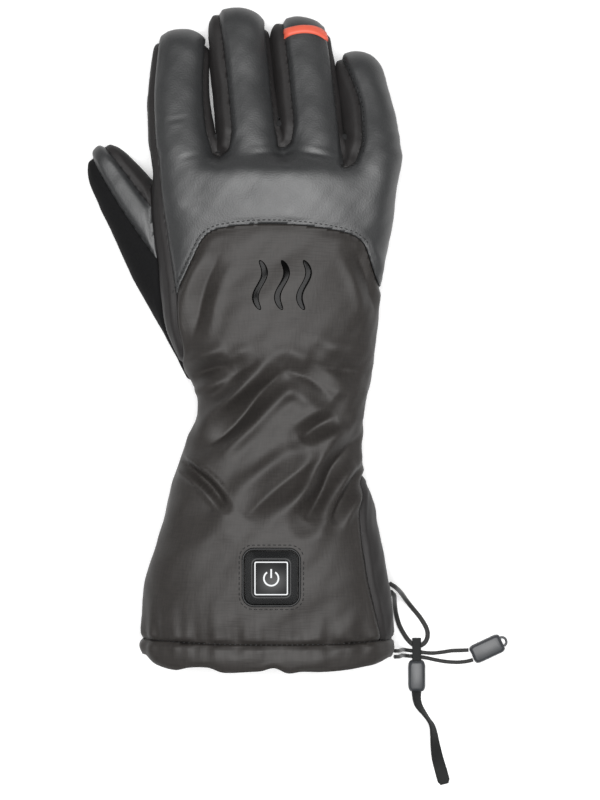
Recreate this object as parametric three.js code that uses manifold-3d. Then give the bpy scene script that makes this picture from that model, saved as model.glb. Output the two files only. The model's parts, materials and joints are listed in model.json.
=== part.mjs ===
// A heated winter glove for the right hand, lying palm down with its cuff open towards -Y.
// Padded leather covers the fingers and knuckles, woven fabric covers the back of the hand and the cuff,
// and a push-button heat control stands in a window of the cuff. Two elastic cords lie beside the hem.
// Millimetres, +X towards the little finger, +Y towards the fingertips, +Z up out of the back of the hand.
// The origin is on the ground, under the middle of the glove without its cords.
import * as THREE from "three";
import { mergeVertices } from "three/addons/utils/BufferGeometryUtils.js";
import Module from "manifold-3d";

const wasm = await Module();
wasm.setup();

// Driving sizes
const GLOVE_LENGTH = 340;
const HAND_WIDTH = 125;
const HAND_THICKNESS = 50;
const WRIST_WIDTH = 84;
const WRIST_THICKNESS = 49;
const HEM_WIDTH = 130;
const HEM_THICKNESS = 56;
const HEM_HEIGHT = 16;
const HEM_EDGE_RISE = 8;
const FINGER_WIDTH = 32;
const FINGER_THICKNESS = 28;
const FINGER_GAP = 1.6;
const FINGERTIP_ROUND = 13;
const THUMB_WIDTH = 32;
const THUMB_THICKNESS = 29;
const THUMB_LENGTH = 129;
const THUMB_SPLAY_DEG = 31;
const HAND_WALL = 4;
const CUFF_WALL = 3;
const SEAM_GAP = 0.3;
const FOLD_DEPTH = 4.5;
const ACCENT_WIDTH = 4.6;
const ACCENT_THICKNESS = 1.1;
// The bright strip's ends and crown, as shares of the ring finger's half width, and how far its ends drop
const ACCENT_SPAN = [-0.52, 0.9];
const ACCENT_CROWN = 0.1;
const ACCENT_DROP = 4.6;

// Heat control
const CONTROL_SIZE = 29.4;
const CONTROL_CORNER = 6;
const CONTROL_WALL = 1.3;
const CONTROL_DEPTH = 7;
const CONTROL_LIP = 1.6;
const BUTTON_HEIGHT = 6.2;
const BUTTON_BEVEL = 3.4;
const BUTTON_SKIRT = 2.6;
const BUTTON_EDGE = 0.8;
const CONTROL_AT = { across: -0.012, along: 0.144 };
const BUTTON_TRAVEL = 0.8;
const RUNNING_CLEARANCE = 0.3;

// Cords and what is on them
const LOOP_CORD_DIAMETER = 2.4;
const DRAW_CORD_DIAMETER = 2;
const STRAP_WIDTH = 6.4;
const STRAP_THICKNESS = 1.2;
const LOCK_WIDTH = 8.8;
const LOCK_LENGTH = 16;
const LOCK_THICKNESS = 5.6;
const LOCK_CORNER = 2;
const LOCK_FOOT_WIDTH = 10;
const LOCK_FOOT_LENGTH = 4.6;
const LOCK_FOOT_THICKNESS = 3.6;
const END_LENGTH = 17;
const END_WIDTH = 9.8;
const END_THICKNESS = 4.8;
const END_CORNER = 1.6;
const END_TURN_DEG = 25;

// A table with named columns, as a list of records.
const record = (columns, row) => Object.fromEntries(columns.map((name, i) => [name, row[i]]));
const table = (columns, rows) => rows.map((row) => record(columns, row));

// Cross-sections of the cuff and hand. at is a share of the glove's length from the hem, left and right are
// shares of the row's width from the centreline, top is a share of its thickness, middle is where the widest
// point lies as a share of the top, and sole is how far the round section would sink into the ground.
const HAND_ROWS = table(
  ["at", "width", "left", "right", "thick", "top", "middle", "sole", "wall"],
  [
    [0.0, HEM_WIDTH, 0.51, 0.452, HEM_THICKNESS, 0.92, 0.5, 0.02, CUFF_WALL],
    [0.024, HEM_WIDTH, 0.527, 0.465, HEM_THICKNESS, 0.97, 0.5, 0.03, CUFF_WALL],
    [0.047, HEM_WIDTH, 0.53, 0.469, HEM_THICKNESS, 0.97, 0.5, 0.03, CUFF_WALL],
    [0.106, HEM_WIDTH, 0.514, 0.458, HEM_THICKNESS, 1.0, 0.5, 0.04, CUFF_WALL],
    [0.153, HEM_WIDTH, 0.494, 0.435, HEM_THICKNESS, 1.01, 0.5, 0.04, CUFF_WALL],
    [0.226, HEM_WIDTH, 0.438, 0.395, HEM_THICKNESS, 0.98, 0.5, 0.03, CUFF_WALL],
    [0.288, WRIST_WIDTH, 0.612, 0.548, WRIST_THICKNESS, 1.07, 0.5, 0.02, CUFF_WALL],
    [0.347, WRIST_WIDTH, 0.535, 0.54, WRIST_THICKNESS, 1.01, 0.51, -0.03, CUFF_WALL],
    [0.376, WRIST_WIDTH, 0.472, 0.527, WRIST_THICKNESS, 1.0, 0.52, -0.04, CUFF_WALL],
    [0.406, WRIST_WIDTH, 0.462, 0.552, WRIST_THICKNESS, 1.0, 0.52, -0.03, CUFF_WALL],
    [0.453, WRIST_WIDTH, 0.546, 0.583, WRIST_THICKNESS, 1.04, 0.52, 0.0, HAND_WALL],
    [0.515, HAND_WIDTH, 0.44, 0.416, HAND_THICKNESS, 1.06, 0.54, 0.05, HAND_WALL],
    [0.588, HAND_WIDTH, 0.47, 0.431, HAND_THICKNESS, 1.06, 0.54, 0.07, HAND_WALL],
    [0.632, HAND_WIDTH, 0.478, 0.46, HAND_THICKNESS, 1.03, 0.54, 0.07, HAND_WALL],
    [0.676, HAND_WIDTH, 0.484, 0.482, HAND_THICKNESS, 0.98, 0.54, 0.05, HAND_WALL],
    [0.72, HAND_WIDTH, 0.49, 0.492, HAND_THICKNESS, 0.92, 0.54, 0.0, HAND_WALL],
    [0.775, HAND_WIDTH, 0.49, 0.5, HAND_THICKNESS, 0.84, 0.54, -0.08, HAND_WALL],
  ],
);
const KNUCKLE_ROUND = 20;

// Fingers. root, base, mid and tip are where the centreline lies across the hand, as shares of its width,
// and wide_* are the finger's widths there, as shares of the finger width. reach is the tip, as a share of
// the glove's length.
const FINGERS = table(
  ["name", "root", "base", "mid", "tip", "reach", "wide_root", "wide_base", "wide_mid", "wide_tip"],
  [
    ["index", -0.34, -0.37, -0.394, -0.382, 0.969, 1.0, 1.06, 0.96, 0.86],
    ["middle", -0.08, -0.094, -0.13, -0.166, 1.0, 1.0, 1.0, 1.0, 0.94],
    ["ring", 0.165, 0.163, 0.13, 0.094, 0.986, 1.0, 1.02, 1.02, 0.94],
    ["little", 0.345, 0.393, 0.376, 0.325, 0.934, 0.84, 0.93, 0.86, 0.72],
  ],
);
// Where the leather of each finger's back ends, as shares of its half width: at the root, then at the tip.
const FINGER_SEAMS = {
  index: { left: [-0.8, -0.88], right: [0.79, 0.74] },
  middle: { left: [-0.74, -0.5], right: [0.86, 0.96] },
  ring: { left: [-0.74, -0.5], right: [0.76, 0.92] },
  little: { left: [-0.42, -0.2], right: [1.2, 1.2] },
};
// Stations along each finger: share of the way from the palm to the tip, then the height of the centre
// and the half height, as shares of the finger's thickness.
const FINGER_STATIONS = table(
  ["share", "lift", "half"],
  [
    [0.0, 0.84, 0.52],
    [0.32, 0.87, 0.55],
    [0.65, 0.74, 0.49],
    [1.0, 0.44, 0.42],
  ],
);
const FINGER_ROOT = 0.67;
// Where neighbouring fingers part, as shares of the length, and how far the side panel's tongue runs past it
const CROTCHES = [0.778, 0.789, 0.758];
const CROTCH_TONGUE = 3.6;
const PALM_SEAM_DROP = 4;
const PALM_START = 0.455;

// Thumb, along its own axis from inside the palm. left and right are shares of its width, and lift and half
// are shares of its thickness.
const THUMB_ROOT = { across: -0.192, along: 0.4706 };
const THUMB_ROWS = table(
  ["share", "left", "right", "lift", "half"],
  [
    [0.0, 0.72, 0.5, 0.7, 0.62],
    [0.2, 0.66, 0.52, 0.62, 0.58],
    [0.38, 0.655, 0.52, 0.52, 0.52],
    [0.54, 0.6, 0.5, 0.5, 0.5],
    [0.72, 0.556, 0.46, 0.48, 0.48],
    [0.885, 0.46, 0.34, 0.44, 0.44],
    [1.0, 0.36, 0.18, 0.42, 0.42],
  ],
);
// Seams beside the leather strip on the thumb's back, as shares of its half width at the root and at the tip.
const THUMB_OUTSIDE = [3, 3];
const THUMB_STRIP_LEFT = [0.02, -0.62];
const THUMB_STRIP_RIGHT = [0.56, 0.3];
const THUMB_PALM_HEIGHT = 0.3;

// Where the leather of the back gives way to fabric: an arch over the back of the hand.
const ARCH = {
  left_foot: [-0.405, 0.5595],
  left_shoulder: [-0.298, 0.642],
  left_turn: [-0.272, 0.658],
  left_top: [-0.228, 0.6604],
  crown: [-0.012, 0.676],
  right_top: [0.261, 0.657],
  right_turn: [0.335, 0.652],
  right_shoulder: [0.363, 0.6375],
  right_foot: [0.45, 0.556],
};
// The fabric strip along the thumb side of the hand: its seam, as shares of the hand's left half width
const SIDE_SEAM = table(
  ["at", "reach"],
  [
    [0.425, 1.25],
    [0.465, 0.98],
    [0.513, 0.9],
    [0.573, 0.872],
    [0.655, 0.914],
    [0.723, 0.93],
    [0.768, 0.94],
  ],
);
// The gusset in the cuff's little-finger side, as shares of the right half width.
const GUSSET_SEAM = table(
  ["at", "reach"],
  [
    [0.02, 0.93],
    [0.1, 0.85],
    [0.153, 0.83],
    [0.235, 0.864],
    [0.305, 1.02],
  ],
);

// Folds pressed into the cuff's back: the ends as [across, along], the half width in millimetres, and the
// depth as a share of FOLD_DEPTH.
const FOLDS = table(
  ["from", "to", "wide", "deep"],
  [
    [[-0.17, 0.458], [-0.36, 0.438], 6, 0.7],
    [[0.05, 0.455], [-0.25, 0.342], 7, 1.0],
    [[0.05, 0.455], [0.26, 0.42], 7, 0.7],
    [[0.25, 0.384], [0.1, 0.354], 6, 0.6],
    [[0.19, 0.324], [-0.1, 0.236], 9, 0.8],
    [[0.36, 0.357], [0.13, 0.236], 7, 1.0],
    [[0.36, 0.305], [0.235, 0.233], 5, 0.7],
    [[-0.37, 0.316], [-0.2, 0.254], 4.5, 0.9],
    [[-0.222, 0.622], [-0.32, 0.51], 7, 0.5],
    [[0.32, 0.63], [0.4, 0.55], 6, 0.5],
  ],
);
// Folds fade out where the surface turns down to the sides.
const FOLD_SHOULDER = 0.25;
const FOLD_BLEND = 3;
const HEM_WAVES = 11;
const HEM_WAVE = 1.3;

// Facets of the skins: outside and inside, of the hand and of a finger
const OUTER = { sides: 32, rings: 24, domes: 4 };
const INNER = { sides: 22, rings: 14, domes: 3 };
const FINGER_OUTER = { sides: 14, rings: 6, domes: 4 };
const FINGER_INNER = { sides: 10, rings: 4, domes: 2 };
const DOME_STEP = 0.6;
const CORD_SIDES = 8;
const LOOP_CORD_STEPS = 30;
const DRAW_CORD_STEPS = 15;
const STRAP_STEPS = 18;
const SLAB_CORNER_STEPS = 3;
const SQUARE_CORNER_STEPS = 4;
const ARCH_STEPS = 6;
const FACET_SLACK = 0.12;
const ROUNDNESS = 2.3;
const PLAN_STEPS = 6;
// How far a cutter runs past the fingertips, and past anything else
const TIP_OVERRUN = 6;
const REACH = 2 * GLOVE_LENGTH;

// Cord routes on the ground, in millimetres from the hem's foot on the centreline: x, y and height.
const LOOP_CORD_ROUTE = [
  [58.7, 44.8, 22], [61.4, 43, 19.8], [64.6, 39.6, 12], [67.8, 35, 5.4], [71.4, 30.4, 2.4], [75.1, 25.8, 1.4],
  [78.3, 20.4, 1.35], [79, 16.4, 1.35], [77.4, 12.6, 1.35], [74, 11, 1.35], [70.6, 12.4, 1.35],
  [67.5, 16, 1.35], [64.4, 21.6, 1.5], [62.6, 27.6, 3], [61.8, 32.4, 6.8], [61.4, 36, 12], [60.9, 38.6, 16.4],
  [59.3, 40.4, 19],
];
const DRAW_CORD_UPPER = [
  [61.2, 10.6, 23], [63, 10.4, 21], [64.4, 10, 14], [65.4, 9.6, 7], [66.8, 9.2, 2.6], [69.2, 8.7, 1.2],
  [73, 8.2, 1.1], [77, 7.6, 1.1], [81.5, 7.3, 1.2], [86.5, 7.8, 1.4], [91.5, 8.6, 1.8], [96, 8.8, 2.2],
  [100.1, 9, 2.4],
];
const DRAW_CORD_LOWER = [
  [61.2, 7.6, 23], [63, 7.4, 21], [64.4, 7, 14], [65.4, 6.6, 7], [66.8, 6.2, 2.6], [69.2, 5.8, 1.2],
  [73, 5.6, 1.1], [78, 4.9, 1.1], [83, 3.8, 1.1], [88.5, 2.9, 1.3], [94, 2.6, 1.7], [98.6, 3, 2.2],
  [102.5, 3.9, 2.4],
];
// The webbing pull: along its middle, x, y, height, and how far it is turned on edge in degrees.
const STRAP_ROUTE = [
  { x: 73.2, y: 15.4, z: 3.6, turn: 0 },
  { x: 73.2, y: 2.6, z: 3.6, turn: 0 },
  { x: 73.2, y: -14.6, z: 3.6, turn: 0 },
  { x: 74.3, y: -19.5, z: 2.9, turn: 20 },
  { x: 78, y: -25, z: 3.5, turn: 50 },
  { x: 80.9, y: -29.5, z: 4.3, turn: 80 },
  { x: 81.9, y: -33.5, z: 3.9, turn: 62 },
  { x: 82.8, y: -40, z: 2.8, turn: 26 },
  { x: 84.1, y: -47, z: 1.5, turn: 8 },
  { x: 86, y: -54, z: 0.9, turn: 0 },
  { x: 87.8, y: -60.6, z: 0.9, turn: 0 },
];
const LOCK_AT = [73.2, -4.2];
const END_AT = [109.8, 9.7];

const clamp = (value, low, high) => Math.min(high, Math.max(low, value));
const mix = (a, b, t) => a + (b - a) * t;
const signedPower = (value, power) => Math.sign(value) * Math.abs(value) ** power;

// A smooth curve through (xs, ys), flat outside them.
function spline(xs, ys, x) {
  const last = xs.length - 1;
  if (x <= xs[0]) return ys[0];
  if (x >= xs[last]) return ys[last];
  let i = 0;
  while (x > xs[i + 1]) i += 1;
  const slope = (k) => {
    const a = Math.max(k - 1, 0);
    const b = Math.min(k + 1, last);
    return (ys[b] - ys[a]) / (xs[b] - xs[a]);
  };
  const step = xs[i + 1] - xs[i];
  const t = (x - xs[i]) / step;
  const rise = ys[i + 1] - ys[i];
  const bend = slope(i) * step - rise;
  const unbend = rise - slope(i + 1) * step;
  return mix(ys[i], ys[i + 1], t) + t * (1 - t) * (bend * (1 - t) + unbend * t);
}

// Sections in millimetres: where each lies along the tube, and how far it reaches each way from its middle
const handSections = HAND_ROWS.map((row) => {
  const top = row.top * row.thick;
  const z = row.middle * top;
  return {
    y: row.at * GLOVE_LENGTH,
    x: 0,
    left: row.left * row.width,
    right: row.right * row.width,
    z,
    up: top - z,
    down: z + row.sole * row.thick,
    wall: row.wall,
  };
});

function fingerSections(finger) {
  const root = FINGER_ROOT * GLOVE_LENGTH;
  const tip = finger.reach * GLOVE_LENGTH;
  const across = [finger.root, finger.base, finger.mid, finger.tip];
  const wide = [finger.wide_root, finger.wide_base, finger.wide_mid, finger.wide_tip];
  return FINGER_STATIONS.map((station, i) => ({
    y: mix(root, tip, station.share),
    x: across[i] * HAND_WIDTH,
    left: (wide[i] * FINGER_WIDTH) / 2,
    right: (wide[i] * FINGER_WIDTH) / 2,
    z: station.lift * FINGER_THICKNESS,
    up: station.half * FINGER_THICKNESS,
    down: station.half * FINGER_THICKNESS,
    wall: HAND_WALL,
  }));
}

const thumbSections = THUMB_ROWS.map((row) => ({
  y: row.share * THUMB_LENGTH,
  x: 0,
  left: row.left * THUMB_WIDTH,
  right: row.right * THUMB_WIDTH,
  z: row.lift * THUMB_THICKNESS,
  up: row.half * THUMB_THICKNESS,
  down: row.half * THUMB_THICKNESS,
  wall: HAND_WALL,
}));

const SECTION_KEYS = ["x", "left", "right", "z", "up", "down", "wall"];
const sectionAt = (sections, y) => {
  const ys = sections.map((s) => s.y);
  const value = (key) => spline(ys, sections.map((s) => s[key]), y);
  return Object.fromEntries(SECTION_KEYS.map((key) => [key, value(key)]));
};

// How deep the folds are at a place on the cuff's back.
function foldDepth(x, y) {
  let depth = 0;
  for (const fold of FOLDS) {
    const ax = fold.from[0] * HAND_WIDTH;
    const ay = fold.from[1] * GLOVE_LENGTH;
    const dx = fold.to[0] * HAND_WIDTH - ax;
    const dy = fold.to[1] * GLOVE_LENGTH - ay;
    const along = ((x - ax) * dx + (y - ay) * dy) / (dx * dx + dy * dy);
    const t = clamp(along, 0, 1);
    const off = Math.hypot(x - ax - t * dx, y - ay - t * dy);
    const fade = Math.sin(Math.PI * clamp(0.15 + 0.7 * t, 0, 1));
    depth += fold.deep * FOLD_DEPTH * fade * Math.exp(-((off / fold.wide) ** 2));
  }
  return Math.min(depth, FOLD_DEPTH);
}

// A closed BufferGeometry from rings of points, from the first ring to the last, with a fan over each end.
function skinOver(rings, endCentre) {
  const sides = rings[0].length;
  const points = rings.flat();
  const mean = (ring) => ring.reduce((sum, p) => sum.add(p), new THREE.Vector3()).divideScalar(ring.length);
  const startIndex = points.push(mean(rings[0])) - 1;
  const endIndex = points.push(endCentre ?? mean(rings[rings.length - 1])) - 1;
  const index = [];
  for (let i = 0; i + 1 < rings.length; i += 1)
    for (let j = 0; j < sides; j += 1) {
      const k = (j + 1) % sides;
      const [a, b, c, d] = [i * sides + j, (i + 1) * sides + j, (i + 1) * sides + k, i * sides + k];
      index.push(a, b, c, a, c, d);
    }
  const lastRing = (rings.length - 1) * sides;
  for (let j = 0; j < sides; j += 1) {
    const k = (j + 1) % sides;
    index.push(startIndex, j, k);
    index.push(endIndex, lastRing + k, lastRing + j);
  }
  const geometry = new THREE.BufferGeometry().setFromPoints(points);
  geometry.setIndex(index);
  return geometry;
}

// A round-ended tube along y through the sections. margin grows it, inset shrinks it by its wall and
// runs it out past its open end by lead, and shape(point, angle, ring) may move each point.
function tube(sections, facets, options = {}) {
  const { margin = 0, inset = false, lead = 0, round = FINGERTIP_ROUND, shape = null } = options;
  const last = sections[sections.length - 1];
  const grow = inset ? -last.wall : margin;
  const start = sections[0].y - lead;
  const end = last.y + grow;
  const bend = round + grow;
  const station = (i) => ({ y: mix(start, end - bend, i / facets.rings), size: 1 });
  const stations = Array.from({ length: facets.rings + 1 }, (_, i) => station(i));
  for (let i = 1; i <= facets.domes; i += 1) {
    const angle = (Math.PI / 2) * (i / (facets.domes + DOME_STEP));
    const y = end - bend + bend * Math.sin(angle) ** (2 / ROUNDNESS);
    stations.push({ y, size: Math.cos(angle) ** (2 / ROUNDNESS) });
  }
  const rings = stations.map(({ y, size }, ring) => {
    const s = sectionAt(sections, y);
    const by = inset ? -s.wall : margin;
    return Array.from({ length: facets.sides }, (_, j) => {
      const angle = (2 * Math.PI * j) / facets.sides;
      const [cos, sin] = [Math.cos(angle), Math.sin(angle)];
      const half = (cos < 0 ? s.left : s.right) + by;
      const high = (sin < 0 ? s.down : s.up) + by;
      const across = signedPower(cos, 2 / ROUNDNESS) * size * half;
      const upward = signedPower(sin, 2 / ROUNDNESS) * size * high;
      const point = new THREE.Vector3(s.x + across, y, s.z + upward);
      if (shape) shape(point, angle, ring);
      return point;
    });
  });
  const tip = sectionAt(sections, end);
  return skinOver(rings, new THREE.Vector3(tip.x, end, tip.z));
}

const solid = (geometry, matrix = null) => {
  const bare = new THREE.BufferGeometry().setAttribute("position", geometry.getAttribute("position"));
  if (geometry.index) bare.setIndex(geometry.index);
  if (matrix) bare.applyMatrix4(matrix);
  const merged = mergeVertices(bare, 1e-4);
  return new wasm.Manifold(
    new wasm.Mesh({
      numProp: 3,
      vertProperties: new Float32Array(merged.attributes.position.array),
      triVerts: new Uint32Array(merged.index.array),
    }),
  );
};
const union = (solids) => solids.reduce((sum, s) => sum.add(s));
const cutAll = (body, tools) => tools.reduce((left, tool) => left.subtract(tool), body);
const largest = (shape) => shape.decompose().reduce((a, b) => (b.volume() > a.volume() ? b : a));

const box = (low, high) => {
  const [a, b] = [new THREE.Vector3(...low), new THREE.Vector3(...high)];
  const size = b.clone().sub(a);
  const middle = a.add(b).divideScalar(2);
  return solid(new THREE.BoxGeometry(size.x, size.y, size.z), new THREE.Matrix4().setPosition(middle));
};
const below = (height) => box([-REACH, -REACH, -REACH], [REACH, REACH, height]);

// An outline moved outwards by a distance.
function grown(outline, by) {
  const area = THREE.ShapeUtils.area(outline);
  const side = Math.sign(area);
  return outline.map((point, i) => {
    const before = outline[(i + outline.length - 1) % outline.length];
    const after = outline[(i + 1) % outline.length];
    const one = new THREE.Vector2().subVectors(point, before).normalize();
    const two = new THREE.Vector2().subVectors(after, point).normalize();
    const normal = new THREE.Vector2((one.y + two.y) * side, -(one.x + two.x) * side).normalize();
    const spread = Math.max(0.5, normal.x * one.y * side - normal.y * one.x * side);
    return point.clone().addScaledVector(normal, by / spread);
  });
}

// A plan outline pulled up into a cutter between two heights.
function prism(outline, by = 0, low = -20, high = 2 * HAND_THICKNESS) {
  const ring = by ? grown(outline, by) : outline;
  const shape = new THREE.Shape(ring);
  const geometry = new THREE.ExtrudeGeometry(shape, { depth: high - low, bevelEnabled: false });
  return solid(geometry, new THREE.Matrix4().makeTranslation(0, 0, low));
}

const place = ([across, along]) => new THREE.Vector2(across * HAND_WIDTH, along * GLOVE_LENGTH);

// The hand with its four fingers, grown by a margin or shrunk by its wall.
const fingers = FINGERS.map((finger) => ({ ...finger, sections: fingerSections(finger) }));

function shapeCuff(point, angle, ring) {
  if (ring === 0) {
    const side = Math.cos(angle) ** 4;
    point.y += side * HEM_EDGE_RISE + HEM_WAVE * Math.sin(HEM_WAVES * angle) * (1 - side);
  }
  press(point, angle);
}

function press(point, angle) {
  const weight = clamp((Math.sin(angle) - FOLD_SHOULDER) * FOLD_BLEND, 0, 1);
  point.z -= weight * foldDepth(point.x, point.y);
}

function handSolid({ margin = 0, inset = false }) {
  const facets = inset ? INNER : OUTER;
  const fingerFacets = inset ? FINGER_INNER : FINGER_OUTER;
  const floor = inset ? below(HAND_WALL) : below(0 - margin);
  const lead = inset ? 2 * HEM_EDGE_RISE : 0;
  const shape = inset ? press : shapeCuff;
  const body = solid(tube(handSections, facets, { margin, inset, lead, round: KNUCKLE_ROUND, shape }));
  const parts = fingers.map((finger) => solid(tube(finger.sections, fingerFacets, { margin, inset })));
  return union([body, ...parts]).subtract(floor);
}

// The thumb lies on the ground beside the palm, turned outwards.
const thumbPlace = new THREE.Matrix4()
  .makeTranslation(THUMB_ROOT.across * HAND_WIDTH, THUMB_ROOT.along * GLOVE_LENGTH, 0)
  .multiply(new THREE.Matrix4().makeRotationZ(THREE.MathUtils.degToRad(THUMB_SPLAY_DEG)));
function thumbSolid({ margin = 0, inset = false }) {
  const facets = inset ? FINGER_INNER : FINGER_OUTER;
  const floor = inset ? below(HAND_WALL) : below(0 - margin);
  return solid(tube(thumbSections, facets, { margin, inset }), thumbPlace).subtract(floor);
}

// Edges and seams of a finger in plan, at a height along the glove.
const across = (finger, y, share) => {
  const s = sectionAt(finger.sections, y);
  return s.x + share * (share < 0 ? s.left : s.right);
};
const seamAt = (finger, side, y) => {
  const seam = FINGER_SEAMS[finger.name][side];
  const from = FINGER_ROOT * GLOVE_LENGTH;
  const share = mix(seam[0], seam[1], clamp((y - from) / (finger.reach * GLOVE_LENGTH - from), 0, 1));
  return new THREE.Vector2(across(finger, y, share), y);
};

// The narrow space between two neighbouring fingers, from the crotch out past the tips.
function fingerSlot(a, b, crotch) {
  const from = crotch * GLOVE_LENGTH;
  const to = Math.max(a.reach, b.reach) * GLOVE_LENGTH + TIP_OVERRUN;
  const middle = (y) => (across(a, y, 1) + across(b, y, -1)) / 2;
  const ys = Array.from({ length: PLAN_STEPS + 1 }, (_, i) => mix(from, to, i / PLAN_STEPS));
  const left = ys.map((y) => new THREE.Vector2(middle(y) - FINGER_GAP / 2, y));
  const right = ys.map((y) => new THREE.Vector2(middle(y) + FINGER_GAP / 2, y));
  return [...left.reverse(), ...right];
}

// The fabric side panel that the two fingers share: it shows between the leather of one back and the next.
function fourchetteOutline(a, b, crotch) {
  const foot = crotch * GLOVE_LENGTH;
  const middle = (across(a, foot, 1) + across(b, foot, -1)) / 2;
  const seam = (finger, side) => {
    const to = finger.reach * GLOVE_LENGTH + TIP_OVERRUN;
    const y = (i) => mix(foot + FINGER_GAP, to, i / PLAN_STEPS);
    return Array.from({ length: PLAN_STEPS + 1 }, (_, i) => seamAt(finger, side, y(i)));
  };
  const leftSide = seam(a, "right");
  const rightSide = seam(b, "left");
  const tongue = [-1, 1].map((way) => new THREE.Vector2(middle + way * FINGER_GAP, foot - CROTCH_TONGUE));
  return [...leftSide.reverse(), ...tongue, ...rightSide];
}

// The line of the arch over the back of the hand, then out around the fingertips.
function archOutline() {
  const shape = new THREE.Shape();
  const go = Object.fromEntries(Object.entries(ARCH).map(([name, at]) => [name, place(at)]));
  shape.moveTo(-REACH / 2, go.left_foot.y);
  shape.lineTo(go.left_foot.x, go.left_foot.y);
  shape.lineTo(go.left_shoulder.x, go.left_shoulder.y);
  shape.quadraticCurveTo(go.left_turn.x, go.left_turn.y, go.left_top.x, go.left_top.y);
  shape.quadraticCurveTo(go.crown.x, go.crown.y, go.right_top.x, go.right_top.y);
  shape.quadraticCurveTo(go.right_turn.x, go.right_turn.y, go.right_shoulder.x, go.right_shoulder.y);
  shape.lineTo(go.right_foot.x, go.right_foot.y);
  shape.lineTo(REACH / 2, go.right_foot.y);
  shape.lineTo(REACH / 2, REACH);
  shape.lineTo(-REACH / 2, REACH);
  return shape.getPoints(ARCH_STEPS);
}

// Everything on the thumb side of the strip's seam, from the cuff to past the index fingertip.
function sideStripOutline() {
  const index = fingers[0];
  const seam = SIDE_SEAM.map((row) => {
    const y = row.at * GLOVE_LENGTH;
    return new THREE.Vector2(-row.reach * sectionAt(handSections, y).left, y);
  });
  const from = CROTCHES[0] * GLOVE_LENGTH + FINGER_GAP;
  const to = index.reach * GLOVE_LENGTH + TIP_OVERRUN;
  for (let i = 0; i <= PLAN_STEPS; i += 1) seam.push(seamAt(index, "left", mix(from, to, i / PLAN_STEPS)));
  const outside = [to, seam[0].y].map((y) => new THREE.Vector2(-REACH / 2, y));
  return [...seam, ...outside];
}

function gussetOutline() {
  const seam = GUSSET_SEAM.map((row) => {
    const y = row.at * GLOVE_LENGTH;
    return new THREE.Vector2(row.reach * sectionAt(handSections, y).right, y);
  });
  const outside = [seam[seam.length - 1].y, seam[0].y].map((y) => new THREE.Vector2(REACH / 2, y));
  return [...seam, ...outside];
}

// The space under the seam where the palm's leather meets the sides: a flat-topped trough under the hand and
// under each finger.
function palmCutter(by) {
  const trough = (sections, from, to, heightAt, spread) => {
    const steps = PLAN_STEPS;
    const rings = Array.from({ length: steps + 1 }, (_, i) => {
      const y = mix(from, to, i / steps);
      const s = sectionAt(sections, y);
      const top = heightAt(s) + by;
      const [left, right] = [s.x - s.left - spread, s.x + s.right + spread];
      const low = -HAND_THICKNESS;
      const corners = [[right, low], [right, top], [left, top], [left, low]];
      return corners.map(([x, z]) => new THREE.Vector3(x, y, z));
    });
    return solid(skinOver(rings));
  };
  const root = FINGER_ROOT * GLOVE_LENGTH;
  const level = fingers[0].sections[0].z - PALM_SEAM_DROP;
  const start = PALM_START * GLOVE_LENGTH - by;
  const palm = trough(handSections, start, root + KNUCKLE_ROUND / 2, () => level, KNUCKLE_ROUND);
  const fronts = fingers.map((finger) => {
    const end = finger.reach * GLOVE_LENGTH + TIP_OVERRUN;
    return trough(finger.sections, root, end, (s) => s.z - PALM_SEAM_DROP, 0);
  });
  return union([palm, ...fronts]);
}

// Strips of the thumb, cut in plan along lines that run from root to tip.
function thumbPlan(leftShares, rightShares, by = 0) {
  const ends = [-THUMB_LENGTH / 4, THUMB_LENGTH + TIP_OVERRUN];
  const line = (shares) =>
    Array.from({ length: PLAN_STEPS + 1 }, (_, i) => {
      const y = mix(ends[0], ends[1], i / PLAN_STEPS);
      const s = sectionAt(thumbSections, y);
      const share = mix(shares[0], shares[1], clamp(y / THUMB_LENGTH, 0, 1));
      const point = new THREE.Vector3(share * (share < 0 ? s.left : s.right), y, 0).applyMatrix4(thumbPlace);
      return new THREE.Vector2(point.x, point.y);
    });
  return prism([...line(leftShares).reverse(), ...line(rightShares)], by);
}

// A square with round corners, centred on the heat control.
function roundedSquare(size, corner) {
  const half = size / 2;
  const r = Math.max(corner, 0.5);
  const shape = new THREE.Shape();
  shape.moveTo(-half + r, -half);
  shape.lineTo(half - r, -half);
  shape.quadraticCurveTo(half, -half, half, -half + r);
  shape.lineTo(half, half - r);
  shape.quadraticCurveTo(half, half, half - r, half);
  shape.lineTo(-half + r, half);
  shape.quadraticCurveTo(-half, half, -half, half - r);
  shape.lineTo(-half, -half + r);
  shape.quadraticCurveTo(-half, -half, -half + r, -half);
  return shape.getPoints(SQUARE_CORNER_STEPS).slice(0, -1);
}

function ringsOf(levels) {
  const lifted = (outline, z) => outline.map((p) => new THREE.Vector3(p.x, p.y, z));
  return levels.map(({ size, corner, z }) => lifted(roundedSquare(size, corner), z));
}

// The cords: round section swept along a smooth route.
function cordGeometry(route, diameter, steps) {
  const curve = new THREE.CatmullRomCurve3(route.map((p) => new THREE.Vector3(...p)), false, "centripetal");
  const corner = (i) => {
    const angle = (2 * Math.PI * (i + 0.5)) / CORD_SIDES;
    return new THREE.Vector2(Math.cos(angle), Math.sin(angle)).multiplyScalar(diameter / 2);
  };
  const section = new THREE.Shape(Array.from({ length: CORD_SIDES }, (_, i) => corner(i)));
  return new THREE.ExtrudeGeometry(section, { steps, bevelEnabled: false, extrudePath: curve });
}

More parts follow.
